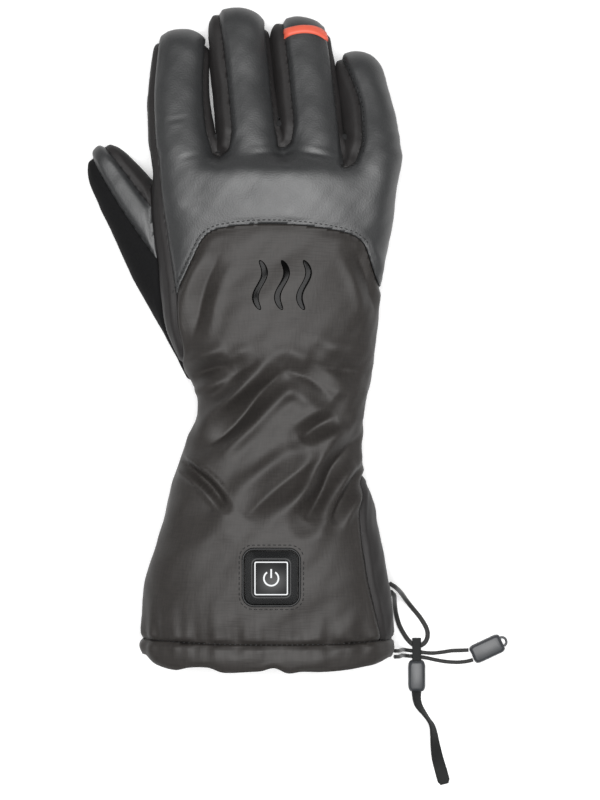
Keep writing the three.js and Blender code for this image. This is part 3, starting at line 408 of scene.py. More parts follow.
class Pattern:
    """The glove's tubes and seam lines in millimetres, from the sizes that the user sets."""

    def __init__(self, sizes):
        lengths = [key for key in GloveSizes.__annotations__ if key != "thumb_splay"]
        self.size = {key: getattr(sizes, key) / MM for key in lengths}
        self.length, self.width = self.size["length"], self.size["hand_width"]
        self.hand = Tube([self._hand_section(row) for row in HAND_ROWS], KNUCKLE_ROUND)
        self.fingers = [Tube(self._finger_sections(row), FINGERTIP_ROUND) for row in FINGERS]
        self.thumb = Tube([self._thumb_section(row) for row in THUMB_ROWS], FINGERTIP_ROUND)
        at = (THUMB_ROOT["across"] * self.width, THUMB_ROOT["along"] * self.length, 0)
        self.thumb_place = Matrix.Translation(at) @ Matrix.Rotation(sizes.thumb_splay, 4, "Z")
        tray = [sum(c) / 2 / MM for c in zip(*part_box("control_tray"))]
        self.shift = Vector((tray[0] - CONTROL_AT["across"] * self.width,
                             tray[1] - CONTROL_AT["along"] * self.length, 0))

    def _hand_section(self, row):
        width, thick = self.size[row["width"]], self.size[row["thick"]]
        top = row["top"] * thick
        z = row["middle"] * top
        return {"y": row["at"] * self.length, "x": 0, "left": row["left"] * width,
                "right": row["right"] * width, "z": z, "up": top - z, "down": z + row["sole"] * thick}

    def _finger_sections(self, row):
        root, tip = FINGER_ROOT * self.length, row["reach"] * self.length
        across = [row[key] for key in ("root", "base", "mid", "tip")]
        wide = [row[key] for key in ("wide_root", "wide_base", "wide_mid", "wide_tip")]
        thick = self.size["finger_thick"]
        sections = []
        for station, x, share in zip(FINGER_STATIONS, across, wide):
            half, high = share * self.size["finger_width"] / 2, station["half"] * thick
            sections.append({"y": mix(root, tip, station["share"]), "x": x * self.width, "left": half,
                             "right": half, "z": station["lift"] * thick, "up": high, "down": high})
        return sections

    def _thumb_section(self, row):
        width, thick = self.size["thumb_width"], self.size["thumb_thick"]
        return {"y": row["share"] * self.size["thumb_length"], "x": 0, "left": row["left"] * width,
                "right": row["right"] * width, "z": row["lift"] * thick,
                "up": row["half"] * thick, "down": row["half"] * thick}

    def place(self, at):
        return np.array([at[0] * self.width, at[1] * self.length])

    def parting(self, k, y):
        """The line midway between two neighbouring fingers."""
        return (self.fingers[k].edge(y, 1) + self.fingers[k + 1].edge(y, -1)) / 2

    def in_thumb(self, points):
        """Points in the thumb's own frame."""
        turned = np.array(self.thumb_place.inverted())
        return points @ turned[:3, :3].T + turned[:3, 3]

    # Seams in plan, each an outline whose inside is the panel

    def arch_outline(self):
        go = {name: self.place(at) for name, at in ARCH.items()}
        far = 2 * self.length

        def curve(start, turn, end):
            steps = np.linspace(0, 1, 13)[1:]
            return [(1 - t) ** 2 * start + 2 * t * (1 - t) * turn + t * t * end for t in steps]

        return [
            (-far, go["left_foot"][1]), go["left_foot"], go["left_shoulder"],
            *curve(go["left_shoulder"], go["left_turn"], go["left_top"]),
            *curve(go["left_top"], go["crown"], go["right_top"]),
            *curve(go["right_top"], go["right_turn"], go["right_shoulder"]),
            go["right_foot"], (far, go["right_foot"][1]), (far, far), (-far, far),
        ]

    def finger_seam(self, k, side, ys):
        """The edge of a finger's leather in plan."""
        root, tip = FINGER_ROOT * self.length, FINGERS[k]["reach"] * self.length
        share = spline(SEAM_STATIONS, FINGER_SEAMS[FINGERS[k]["name"]][side], (ys - root) / (tip - root))
        return np.column_stack([self.fingers[k].edge(ys, share), ys])

    def side_panel_outline(self, k):
        foot = CROTCHES[k] * self.length
        middle, gap = float(self.parting(k, foot)), self.size["finger_gap"]

        def seam(finger, side):
            line = self.finger_seam(finger, side, np.linspace(foot + gap, self.tip(finger), 40))
            open_by = mix(CROTCH_NARROW, 1, ramp(line[:, 1], foot - gap, foot + CROTCH_TAPER))
            line[:, 0] = mix(self.parting(k, line[:, 1]), line[:, 0], open_by)
            return line

        tongue = [(middle - CROTCH_TONGUE, foot - CROTCH_TONGUE / 2), (middle, foot - CROTCH_TONGUE),
                  (middle + CROTCH_TONGUE, foot - CROTCH_TONGUE / 2)]
        return [*seam(k, "right")[::-1], *tongue, *seam(k + 1, "left")]

    def tip(self, k):
        """A place past the fingertip, where outlines may end."""
        return FINGERS[k]["reach"] * self.length + 6

    def body_seam(self, table, side):
        ys = np.array([row["at"] for row in table]) * self.length
        line = np.linspace(ys[0], ys[-1], 40)
        reach = spline(ys, [row["reach"] for row in table], line)
        return np.column_stack([self.hand.edge(line, side * reach), line])

    def side_strip_outline(self):
        lower = self.body_seam(SIDE_SEAM, -1)
        start = CROTCHES[0] * self.length + self.size["finger_gap"]
        upper = self.finger_seam(0, "left", np.linspace(start, self.tip(0), 25))
        far = 2 * self.length
        return [*lower, *upper, (-far, self.tip(0)), (-far, lower[0][1])]

    def gusset_outline(self):
        seam = self.body_seam(GUSSET_SEAM, 1)
        far = 2 * self.length
        return [*seam, (far, seam[-1][1]), (far, seam[0][1])]

    def palm_level(self, points):
        """Height of the seam between the palm's leather and the sides."""
        level = np.full(len(points), self.fingers[0].values["z"][0] - PALM_SEAM_DROP)
        beyond = FINGER_ROOT * self.length
        partings = [np.full(len(points), -np.inf)]
        partings += [self.parting(k, points[:, 1]) for k in range(len(CROTCHES))]
        for tube, left in zip(self.fingers, partings):
            mine = (points[:, 1] > beyond) & (points[:, 0] > left)
            level = np.where(mine, tube.at(points[:, 1])["z"] - PALM_SEAM_DROP, level)
        return level

    def hand_outside(self, points):
        """Roughly how far points lie outside the hand and its fingers."""
        return np.min([tube.outside(points) for tube in (self.hand, *self.fingers)], axis=0)

    def thumb_line(self, shares, points):
        """How far points in the thumb's frame lie to the right of a line from its root to its tip."""
        length = self.size["thumb_length"]
        share = mix(shares[0], shares[1], np.clip(points[:, 1] / length, 0, 1))
        return points[:, 0] - self.thumb.edge(points[:, 1], share)

    def hem_edge(self, points):
        """Where the wavy open end lies along the glove."""
        size, angle, _ = self.hand.polar(points)
        side = np.cos(angle) ** 4
        x = points[:, 0]
        upper = spline([row["x"] for row in HEM_EDGE], [row["rise"] for row in HEM_EDGE], x)
        lower = HEM_UNDER["rise"] + sum(w["high"] * np.sin(x / w["long"] + w["shift"]) for w in HEM_WAVES)
        return np.where(np.sin(angle) > 0, upper, mix(lower, upper, side)) + HEM_UNDER["drawn_in"]

    def hem_seam(self, points):
        return self.size["hem_height"] + HEM_BOW * (points[:, 0] / self.width) ** 2


# The hem's wavy end as the camera sees it: millimetres across, and how far the edge is drawn in
HEM_EDGE = rows(
    "x rise",
    [[-66, 8], [-61, 3.6], [-50, 0.8], [-43.4, 2.4], [-32.6, 2.5], [-26.5, 0.1], [-12, 0.6], [-5, 1.2],
     [-1, 3.0], [3, 1.4], [6.6, -0.4], [13.3, 0.7], [23, 0.4], [35.7, 1.2], [46, 2.7], [51, 3.6], [58, 6.4]],
)
# The unseen lower edge: how far it is drawn in and its waves, in millimetres
HEM_UNDER = {"rise": 1.5, "drawn_in": 2}
HEM_WAVES = rows("high long shift", [[1.3, 7.3, 0], [0.7, 3.9, 1]])
HEM_BOW = 6


def plan_distance(outline, points):
    """How far points lie inside an outline in plan, in millimetres: below zero outside."""
    corners = np.asarray(outline, float)
    x, y = points[:, 0], points[:, 1]
    nearest = np.full(len(points), np.inf)
    inside = np.zeros(len(points), bool)
    for (ax, ay), (bx, by) in zip(corners, np.roll(corners, -1, axis=0)):
        dx, dy = bx - ax, by - ay
        t = np.clip(((x - ax) * dx + (y - ay) * dy) / max(dx * dx + dy * dy, 1e-9), 0, 1)
        nearest = np.minimum(nearest, np.hypot(x - ax - t * dx, y - ay - t * dy))
        if dy:
            inside ^= ((ay > y) != (by > y)) & (x < ax + (y - ay) * dx / dy)
    return np.where(inside, nearest, -nearest)


# The skin: one surface over the hand, its fingers and the thumb

SPREAD = 3.0
CROTCH_RUN = 8
GROUND = 0.05


def spread_of(pattern, x, y):
    """How far the fingers are moved apart at a place while the skin is one surface."""
    gap = pattern.size["finger_gap"]
    moved = np.zeros(len(x))
    for k, crotch in enumerate(CROTCHES):
        foot = crotch * pattern.length + WEB
        line = pattern.parting(k, y)
        moved += SPREAD * ramp(y, foot - 1, foot + CROTCH_RUN) * ramp(x, line - gap / 2, line + gap / 2)
    return moved


def keep_apart(pattern, k, points):
    """Keeps a finger on its own side of the line to each neighbour, from the crotch out."""
    gap = pattern.size["finger_gap"]
    x, y = points[:, 0], points[:, 1]
    for j, way in ((k - 1, 1), (k, -1)):
        if 0 <= j < len(CROTCHES):
            foot = CROTCHES[j] * pattern.length + WEB
            free = (1 - ramp(y, foot - 1, foot + CROTCH_RUN)) * pattern.size["finger_width"] / 3
            limit = pattern.parting(j, y) + way * (gap / 2 - free)
            x = np.maximum(x, limit) if way > 0 else np.minimum(x, limit)
    points[:, 0] = x + spread_of(pattern, x, y)


def closed_up(pattern, points):
    """Moves the spread fingers back together: the offset grows with x, so halving finds each place."""
    low, high = points[:, 0] - SPREAD * len(CROTCHES) - 1, points[:, 0].copy()
    for _ in range(30):
        middle = (low + high) / 2
        over = middle + spread_of(pattern, middle, points[:, 1]) > points[:, 0]
        low, high = np.where(over, low, middle), np.where(over, middle, high)
    points[:, 0] = (low + high) / 2


def vertex_array(verts):
    return np.array([v.co[:] for v in verts])


def move_to(verts, points):
    for v, point in zip(verts, points):
        v.co = point


# How finely each tube is lofted: sides round it, rings along it and rings in its round end
LOFT = {
    "hand": {"sides": 72, "rings": 110, "domes": 8},
    "finger": {"sides": 40, "rings": 44, "domes": 8},
    "thumb": {"sides": 40, "rings": 50, "domes": 8},
}


def rough_skin(pattern):
    """The hand, the four fingers and the thumb as overlapping closed tubes, in one mesh."""
    whole = bmesh.new()
    kinds = ["hand"] + ["finger"] * len(pattern.fingers) + ["thumb"]
    for tube, kind in zip((pattern.hand, *pattern.fingers, pattern.thumb), kinds):
        bm = tube.loft(bmesh.new(), **LOFT[kind])
        if tube in pattern.fingers:
            points = vertex_array(bm.verts)
            keep_apart(pattern, pattern.fingers.index(tube), points)
            move_to(bm.verts, points)
        if tube is pattern.thumb:
            bm.transform(pattern.thumb_place)
        for v in bm.verts:
            v.co.z = max(v.co.z, 0)
        bmesh.ops.recalc_face_normals(bm, faces=bm.faces)
        part = bpy.data.meshes.new("tube")
        bm.to_mesh(part)
        bm.free()
        whole.from_mesh(part)
        bpy.data.meshes.remove(part)
    return whole


def remeshed(bm, grain):
    """One surface around overlapping closed shapes, with faces of the given size."""
    mesh = bpy.data.meshes.new("rough_skin")
    bm.to_mesh(mesh)
    bm.free()
    rough = bpy.data.objects.new("rough_skin", mesh)
    bpy.context.scene.collection.objects.link(rough)
    modifier = rough.modifiers.new("Remesh", "REMESH")
    modifier.mode = "VOXEL"
    modifier.voxel_size = grain
    graph = bpy.context.evaluated_depsgraph_get()
    made = bpy.data.meshes.new_from_object(rough.evaluated_get(graph))
    bpy.data.objects.remove(rough)
    return made


def relaxed(points, edges, weight, times):
    """Points moved towards the mean of their neighbours, each by its own weight."""
    used = np.flatnonzero(weight > 0)
    order = np.full(len(points), -1)
    near = edges[(weight[edges] > 0).any(axis=1)]
    region = np.union1d(used, near)
    order[region] = np.arange(len(region))
    a, b = order[near[:, 0]], order[near[:, 1]]
    count = np.maximum(np.bincount(a, minlength=len(region)) + np.bincount(b, minlength=len(region)), 1)
    part, share = points[region], weight[region][:, None]
    for _ in range(times):
        total = np.column_stack([
            np.bincount(a, part[b, axis], len(region)) + np.bincount(b, part[a, axis], len(region))
            for axis in range(3)
        ])
        part = part + (total / count[:, None] - part) * share
    points = points.copy()
    points[region] = part
    return points


# Where the knuckles are drawn together, along the glove: from, fully from, fully to, to
KNUCKLES = (0.6, 0.68, 0.77, 0.82)
KNUCKLE_DRAW = {"weight": 0.55, "times": 60}
STEPS_SMOOTHED = {"weight": 0.5, "times": 6}
NORMALS_SMOOTHED = {"weight": 0.5, "times": 8}
RIM_SMOOTHED = {"weight": 0.5, "times": 4}


def edge_ends(mesh):
    """The two vertex numbers of each edge."""
    ends = np.empty(len(mesh.edges) * 2, int)
    mesh.edges.foreach_get("vertices", ends)
    return ends.reshape(-1, 2)


def smooth_skin(pattern, grain):
    """The remeshed skin with its voxel steps smoothed away and its knuckles drawn together."""
    mesh = remeshed(rough_skin(pattern), grain)
    points = np.empty(len(mesh.vertices) * 3)
    mesh.vertices.foreach_get("co", points)
    points, edges = points.reshape(-1, 3), edge_ends(mesh)
    points = relaxed(points, edges, np.full(len(points), STEPS_SMOOTHED["weight"]), STEPS_SMOOTHED["times"])
    start, full, until, end = (share * pattern.length for share in KNUCKLES)
    knuckles = ramp(points[:, 1], start, full) * (1 - ramp(points[:, 1], until, end))
    points = relaxed(points, edges, KNUCKLE_DRAW["weight"] * knuckles, KNUCKLE_DRAW["times"])
    closed_up(pattern, points)
    points[:, 2] = np.maximum(points[:, 2], GROUND)
    mesh.vertices.foreach_set("co", points.ravel())
    mesh.update()
    return mesh


# Cutting the skin into panels

SNAP = 0.16


def cut_along(bm, height, within):
    """Cuts the skin where height is 0, among the points that are within."""
    bm.verts.ensure_lookup_table()
    bm.verts.index_update()
    points = vertex_array(bm.verts)
    value, allowed = height(points), within(points)
    ends = np.array([(e.verts[0].index, e.verts[1].index) for e in bm.edges])
    crossed = (value[ends[:, 0]] * value[ends[:, 1]] < 0) & allowed[ends].all(axis=1)
    bm.edges.ensure_lookup_table()
    edges = [bm.edges[i] for i in np.flatnonzero(crossed)]
    line, moved = [], {}
    for edge in edges:
        a, b = edge.verts
        if a in moved or b in moved:
            continue
        share = value[a.index] / (value[a.index] - value[b.index])
        near = a if share < SNAP else b if share > 1 - SNAP else None
        if near:
            near.co = a.co.lerp(b.co, share)
            moved[near] = True
    for edge in edges:
        a, b = edge.verts
        if a in moved or b in moved:
            continue
        share = value[a.index] / (value[a.index] - value[b.index])
        line.append(bmesh.utils.edge_split(edge, a, share)[1])
    bmesh.ops.connect_verts(bm, verts=line + list(moved))


PANELS = [
    "back_leather", "palm_leather", "index_side_strip", "index_middle_side_panel", "middle_ring_side_panel",
    "ring_little_side_panel", "thumb_strip", "thumb_inner_panel", "thumb_outer_panel", "thumb_palm_panel",
    "cuff", "cuff_gusset", "hem",
]
SIDE_PANELS = PANELS[3:6]
FABRIC = {"cuff", "cuff_gusset", "hem"}
LAPPED = {"back_leather"}


# Where lines are looked for: up to this many millimetres from the hem, and up to or from these shares of the
# length
HEM_ZONE = 60
ARCH_ZONE = 0.75
SIDES_ZONE = 0.7


class Seams:
    """The lines along which the skin is cut, and the panel on which a place lies."""

    def __init__(self, pattern):
        self.pattern = pattern
        self.arch = pattern.arch_outline()
        self.strip = pattern.side_strip_outline()
        self.gusset = pattern.gusset_outline()
        self.sides = [pattern.side_panel_outline(k) for k in range(len(CROTCHES))]
        self.palm_start = PALM_START * pattern.length
        self.thumb_level = THUMB_PALM_HEIGHT * pattern.size["thumb_thick"]

    def thumb_lead(self, points):
        """Below zero where the thumb's skin is the outer one."""
        pattern = self.pattern
        return pattern.thumb.outside(pattern.in_thumb(points)) - pattern.hand_outside(points)

    def over_palm(self, points):
        return points[:, 2] - self.pattern.palm_level(points)

    def lines(self):
        """Each line: a height that is 0 on it, and where it counts."""
        pattern, on_thumb = self.pattern, self.thumb_lead
        length = pattern.length

        def on_hand(points):
            return on_thumb(points) > -1

        def upper(points):
            return (self.over_palm(points) > -1) & on_hand(points)

        def thumb_part(points):
            return on_thumb(points) < 1

        yield lambda p: p[:, 1] - pattern.hem_edge(p), lambda p: p[:, 1] < HEM_ZONE / 2
        yield lambda p: p[:, 1] - pattern.hem_seam(p), lambda p: p[:, 1] < HEM_ZONE
        yield on_thumb, lambda p: p[:, 0] < 0
        yield lambda p: p[:, 1] - self.palm_start, lambda p: (self.over_palm(p) < 2) & on_hand(p)
        yield self.over_palm, lambda p: (p[:, 1] > self.palm_start - 1) & on_hand(p)
        yield lambda p: plan_distance(self.arch, p), lambda p: upper(p) & (p[:, 1] < ARCH_ZONE * length)
        yield lambda p: plan_distance(self.strip, p), upper
        for outline in self.sides:
            yield (lambda p, outline=outline: plan_distance(outline, p),
                   lambda p: upper(p) & (p[:, 1] > SIDES_ZONE * length))
        yield lambda p: plan_distance(self.gusset, p), lambda p: p[:, 0] > 0
        yield (lambda p: p[:, 2] - self.thumb_level, lambda p: thumb_part(p))
        for shares in (THUMB_STRIP_LEFT, THUMB_STRIP_RIGHT):
            yield (lambda p, shares=shares: pattern.thumb_line(shares, pattern.in_thumb(p)),
                   lambda p: thumb_part(p) & (p[:, 2] > self.thumb_level - 1))

    def panel_of(self, points):
        """The number in PANELS of the panel that each place lies on."""
        pattern = self.pattern
        number = {name: i for i, name in enumerate(PANELS)}
        made = np.full(len(points), number["cuff"])

        def lay(name, where):
            made[where] = number[name]

        low = self.over_palm(points) < 0
        lay("cuff_gusset", plan_distance(self.gusset, points) > 0)
        lay("back_leather", plan_distance(self.arch, points) > 0)
        lay("index_side_strip", plan_distance(self.strip, points) > 0)
        for outline, name in zip(self.sides, SIDE_PANELS):
            lay(name, plan_distance(outline, points) > 0)
        lay("palm_leather", low & (points[:, 1] > self.palm_start))
        lay("hem", points[:, 1] < pattern.hem_seam(points))
        local = pattern.in_thumb(points)
        thumb = self.thumb_lead(points) < 0
        past_left = pattern.thumb_line(THUMB_STRIP_LEFT, local) > 0
        past_right = pattern.thumb_line(THUMB_STRIP_RIGHT, local) > 0
        lay("thumb_outer_panel", thumb)
        lay("thumb_strip", thumb & past_left)
        lay("thumb_inner_panel", thumb & past_right)
        lay("thumb_palm_panel", thumb & (points[:, 2] < self.thumb_level))
        return made


SEAM_KINDS = ["turned", "lap", "channel", "mouth"]


def seam_kind(panels):
    """What kind of seam lies between two faces, from the panels that they belong to."""
    if len(panels) < 2:
        return "mouth"
    if panels[0] == panels[1]:
        return ""
    if "hem" in panels:
        return "channel"
    if LAPPED & set(panels) and FABRIC & set(panels):
        return "lap"
    return "turned"


def cut_skin(pattern, grain):
    """The skin cut into panels: each face has its panel's number, each point its way out and its seams."""
    bm = bmesh.new()
    smooth = smooth_skin(pattern, grain)
    bm.from_mesh(smooth)
    bpy.data.meshes.remove(smooth)
    seams = Seams(pattern)
    for height, within in seams.lines():
        cut_along(bm, height, within)
    bm.faces.ensure_lookup_table()
    centres = np.array([f.calc_center_median()[:] for f in bm.faces])
    beyond = centres[:, 1] < pattern.hem_edge(centres)
    bmesh.ops.delete(bm, geom=[bm.faces[i] for i in np.flatnonzero(beyond)], context="FACES")
    bm.verts.index_update()
    centres = np.array([f.calc_center_median()[:] for f in bm.faces])
    numbers = seams.panel_of(centres)
    layer = bm.faces.layers.int.new("panel")
    for face, number in zip(bm.faces, numbers):
        face[layer] = int(number)
    kinds = [seam_kind([PANELS[f[layer]] for f in edge.link_faces]) for edge in bm.edges]
    ends = np.array([(edge.verts[0].index, edge.verts[1].index) for edge in bm.edges])
    skin = bpy.data.meshes.new("glove_skin")
    bm.to_mesh(skin)
    bm.free()
    for kind in SEAM_KINDS:
        there = np.zeros(len(skin.vertices), bool)
        there[ends[[k == kind for k in kinds]].ravel()] = True
        skin.attributes.new(kind, "BOOLEAN", "POINT").data.foreach_set("value", there)
    normals = np.array([v.normal[:] for v in skin.vertices])
    weight = np.full(len(normals), NORMALS_SMOOTHED["weight"])
    normals = relaxed(normals, edge_ends(skin), weight, NORMALS_SMOOTHED["times"])
    normals /= np.linalg.norm(normals, axis=1)[:, None]
    skin.attributes.new("out", "FLOAT_VECTOR", "POINT").data.foreach_set("vector", normals.ravel())
    return skin


# What pressing, sewing and padding do to the panels

# Short creases in the leather: points as [across, along], half width in millimetres and depth
CREASES = rows(
    "line wide deep",
    [
        [[[-0.094, 0.771], [0.078, 0.7755]], 1.3, 0.5],
        [[[0.061, 0.78], [0.277, 0.762]], 1.3, 0.5],
        [[[-0.4366, 0.8205], [-0.355, 0.8265]], 1.2, 0.22],
        [[[-0.388, 0.7635], [-0.306, 0.771]], 1.2, 0.22],
        [[[-0.371, 0.696], [-0.2856, 0.699]], 1.2, 0.22],
    ],
)
STITCH_INSET = 1.9
LITTLE_INSET = 1.3
HEM_INSET = 0.3
# The little finger's stitches stop this share of the length before its ends; the hem's run from and to
SEAM_END = 0.01
HEM_STITCHED = (-0.49, 0.46)
# How each kind of seam lifts a panel or, below zero, draws it in, in millimetres. at is the distance from
# the seam, wide is how far it reaches, and on is which panels it counts for.
SEAM_RELIEF = rows(
    "seam on rise at wide",
    [
        ["turned", "all", 0.25, 3.2, 1.2],
        ["lap", "lapped", -0.5, 0, 0.5],
        ["lap", "lapped", -0.45, STITCH_INSET, 0.7],
        ["lap", "fabric", -0.6, 0, 2.5],
        ["channel", "all", -1.6, 0, 1.3],
        ["mouth", "all", -0.8, 0, 1.5],
    ],
)
TURNED_WIDE = 1.5
LAP_WIDE = 5
# Padding swells fully this far from the seams, and fabric by this share of what leather does
PUFF_REACH = 6
FABRIC_PUFF = 0.5
# Gathers beside the drawcord's channel: size of a wave, height, and their reach on the hem and on the cuff
GATHER = {"size": 7.5, "rise": 1.3, "hem": 4, "cuff": 8, "drawn": (1, 0.12, 1), "clear": 1.6}
# The fabric's wrinkles are drawn out along its folds, which run upwards to the right
DRAWN_OUT = np.array(Matrix.Rotation(math.radians(38), 3, "Z") @ Matrix.Diagonal((0.35, 1, 1)))
# Soft wrinkles: the length of a wave, then its height on leather and on fabric
WRINKLES = rows("size leather fabric", [[38, 0.3, 0.7], [19, 0.2, 0.6], [9, 0.08, 0.28]])
# The crumpled wrist, its middle and reach as shares of the length; away from it the fabric is calmer
CALM = 0.6
CRUMPLED = (0.38, 0.13)
SEAM_CLEAR = 3
# Where the fabric between two fingers fills their gap: how far it bulges, and for what share of the length
SIDE_FILL = rows("height run", [[1.3, 0.1], [0.6, 0.4], [0.3, 0.3]])
# The soft ridge at both sides of a fold: height, distance and width as shares of the fold's own
RIDGE = {"height": 0.45, "at": 1.9, "wide": 0.8}
VALLEY_SHAPE = 1.2


def run_along(line):
    """How far along a line each of its places lies."""
    return np.concatenate([[0], np.cumsum(np.linalg.norm(np.diff(line, axis=0), axis=1))])


def smooth_line(places, count):
    """Places along a smooth curve through the given ones, evenly spaced."""
    places = np.asarray(places, float)
    run = run_along(places)
    along = np.linspace(0, run[-1], count)
    return np.column_stack([spline(run, places[:, i], along) for i in range(places.shape[1])])


def beside_line(line, points):
    """How far points lie from a line in plan, and at what share of its length."""
    nearest, share = np.full(len(points), np.inf), np.zeros(len(points))
    for i, (a, b) in enumerate(zip(line, line[1:])):
        run = b - a
        t = np.clip(((points[:, :2] - a) @ run) / (run @ run), 0, 1)
        far = np.linalg.norm(points[:, :2] - a - t[:, None] * run, axis=1)
        closer = far < nearest
        nearest = np.where(closer, far, nearest)
        share = np.where(closer, (i + t) / (len(line) - 1), share)
    return nearest, share


def hump(distance, at, wide):
    """A rounded rise of height 1 where the distance is at, and so wide."""
    return np.exp(-((distance - at) / wide) ** 2)


def ripple(points, size, seed):
    """Soft waves of about that length in several directions, mostly between -1 and 1."""
    rng = np.random.default_rng(seed)
    total = np.zeros(len(points))
    for _ in range(6):
        way = rng.normal(size=3)
        way *= 2 * math.pi / (size * rng.uniform(0.7, 1.5) * np.linalg.norm(way))
        total += np.sin(points @ way + rng.uniform(0, 2 * math.pi))
    return total / 3


def folded(pattern, table, points, out):
    """Valleys along a table's lines with a soft ridge at each side, on what faces up."""
    total = np.zeros(len(points))
    for fold in table:
        line = smooth_line([pattern.place(at) for at in fold["line"]], 14)
        far, share = beside_line(line, points)
        wide = fold["wide"]
        fade = np.sin(math.pi * np.clip(share, 0.02, 0.98)) ** 0.6
        valley = np.exp(-(far / wide) ** VALLEY_SHAPE)
        ridge = RIDGE["height"] * hump(far, RIDGE["at"] * wide, RIDGE["wide"] * wide)
        total += fold["deep"] * fade * (ridge - valley)
    return total * ramp(out[:, 2], 0, 0.6)


def relief(pattern, size, name, points, out, near):
    """How far each point of a panel moves outwards, in millimetres."""
    fabric = name in FABRIC
    inner = np.min(list(near.values()), axis=0)
    move = size["puff"] * (FABRIC_PUFF if fabric else 1) * (1 - hump(inner, 0, PUFF_REACH))
    move -= size["seam_depth"] * hump(near["turned"], 0, TURNED_WIDE)
    kinds = {"all"} | ({"lapped"} if name in LAPPED else {"fabric"} if fabric else set())
    for seam in SEAM_RELIEF:
        if seam["on"] in kinds:
            move += seam["rise"] * hump(near[seam["seam"]], seam["at"], seam["wide"])
    if name in LAPPED:
        move += size["lap_rise"] * hump(near["lap"], 0, LAP_WIDE)
    gather = ripple(points * GATHER["drawn"], GATHER["size"], 11)
    away = 1 - hump(near["channel"], 0, GATHER["clear"])
    reach = GATHER["hem"] if name == "hem" else GATHER["cuff"]
    move += GATHER["rise"] * gather * away * np.exp(-near["channel"] / reach)
    drawn = points @ DRAWN_OUT if fabric else points
    along = points[:, 1] / pattern.length
    calm = mix(CALM, 1, hump(along, *CRUMPLED)) if fabric else 1
    for i, wave in enumerate(WRINKLES):
        height = wave["fabric"] * calm if fabric else wave["leather"]
        move += height * ripple(drawn, wave["size"], i + 3) * (1 - hump(inner, 0, SEAM_CLEAR))
    if name in SIDE_PANELS:
        k = SIDE_PANELS.index(name)
        fill = SIDE_FILL[k]["height"] * (1 - hump(inner, 0, SEAM_CLEAR))
        move += fill * (1 - ramp(along, CROTCHES[k], CROTCHES[k] + SIDE_FILL[k]["run"]))
    move += size["fold_depth"] * folded(pattern, FOLDS, points, out)
    return move + folded(pattern, CREASES, points, out)


# Pieces in the frame

MADE = "made_"


def settings():
    """The pattern and the surface's sizes in millimetres."""
    scene = bpy.context.scene
    surface = {key: getattr(scene.glove_surface, key) / MM for key in GloveSurface.__annotations__}
    return Pattern(scene.glove_sizes), surface


def into_frame(pattern):
    """From the pattern's millimetres to the frame's metres."""
    return Matrix.Scale(MM, 4) @ Matrix.Translation(pattern.shift)


def piece(bm, name, looks, nodes=(), slot=None, body=GLOVE, smooth=True):
    """A finished piece in the frame from a mesh in the pattern's millimetres."""
    pattern, _ = settings()
    bm.transform(into_frame(pattern))
    for face in bm.faces:
        face.smooth = smooth
    mesh = bpy.data.meshes.new(MADE + name)
    bm.to_mesh(mesh)
    bm.free()
    obj = bpy.data.objects.new(MADE + name, mesh)
    bpy.context.scene.collection.objects.link(obj)
    for look in looks:
        mesh.materials.append(finish(look))
    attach(obj, body)
    if nodes:
        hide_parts(*nodes)
    return obj


def walled(obj, thick, lining=0):
    """Gives a surface its thickness, inwards."""
    wall = obj.modifiers.new("Wall", "SOLIDIFY")
    wall.thickness = thick * MM
    wall.offset = -1
    wall.material_offset = lining
    return obj


def seam_distance(bm, kind):
    """How far each point of a panel lies from its own seams of a kind."""
    there = bm.verts.layers.bool[kind]
    edges = [e.verts for e in bm.edges if len(e.link_faces) == 1 and all(v[there] for v in e.verts)]
    seam = [a.co.lerp(b.co, share) for a, b in edges for share in (0, 0.25, 0.5, 0.75, 1)]
    if not seam:
        return np.full(len(bm.verts), 1e3)
    tree = KDTree(len(seam))
    for i, place in enumerate(seam):
        tree.insert(place, i)
    tree.balance()
    return np.array([tree.find(v.co)[2] for v in bm.verts])


def lay_cloth(bm, pattern):
    """UV in millimetres, round the hand from the middle of its back and along it."""
    uv = bm.loops.layers.uv.new("cloth")
    bm.verts.index_update()
    points = vertex_array(bm.verts)
    _, angle, _ = pattern.hand.polar(points)
    turn = (math.pi / 2 - angle + math.pi) % (2 * math.pi) - math.pi
    round_hand = turn * pattern.width * 0.4
    for face in bm.faces:
        for loop in face.loops:
            i = loop.vert.index
            loop[uv].uv = (round_hand[i], points[i, 1])


def make_panel(name, look, slot):
    """One panel of the skin with its seams, padding and folds, and its wall."""
    pattern, size = settings()
    bm = bmesh.new()
    bm.from_mesh(bpy.data.meshes["glove_skin"])
    layer = bm.faces.layers.int["panel"]
    number = PANELS.index(name)
    bmesh.ops.delete(bm, geom=[f for f in bm.faces if f[layer] != number], context="FACES")
    lay_cloth(bm, pattern)
    points = vertex_array(bm.verts)
    way = bm.verts.layers.float_vector["out"]
    out = np.array([v[way][:] for v in bm.verts])
    near = {kind: seam_distance(bm, kind) for kind in SEAM_KINDS}
    points += out * relief(pattern, size, name, points, out, near)[:, None]
    bm.verts.index_update()
    rim = [e for e in bm.edges if len(e.link_faces) == 1]
    weight = np.zeros(len(points))
    ends = np.array([[v.index for v in e.verts] for e in rim])
    weight[ends.ravel()] = RIM_SMOOTHED["weight"]
    points = relaxed(points, ends, weight, RIM_SMOOTHED["times"])
    points[:, 2] = np.maximum(points[:, 2], GROUND)
    move_to(bm.verts, points)
    obj = piece(bm, name, [look, "lining"], [name], slot)
    walled(obj, pattern.size["wall"], 1)
    return obj


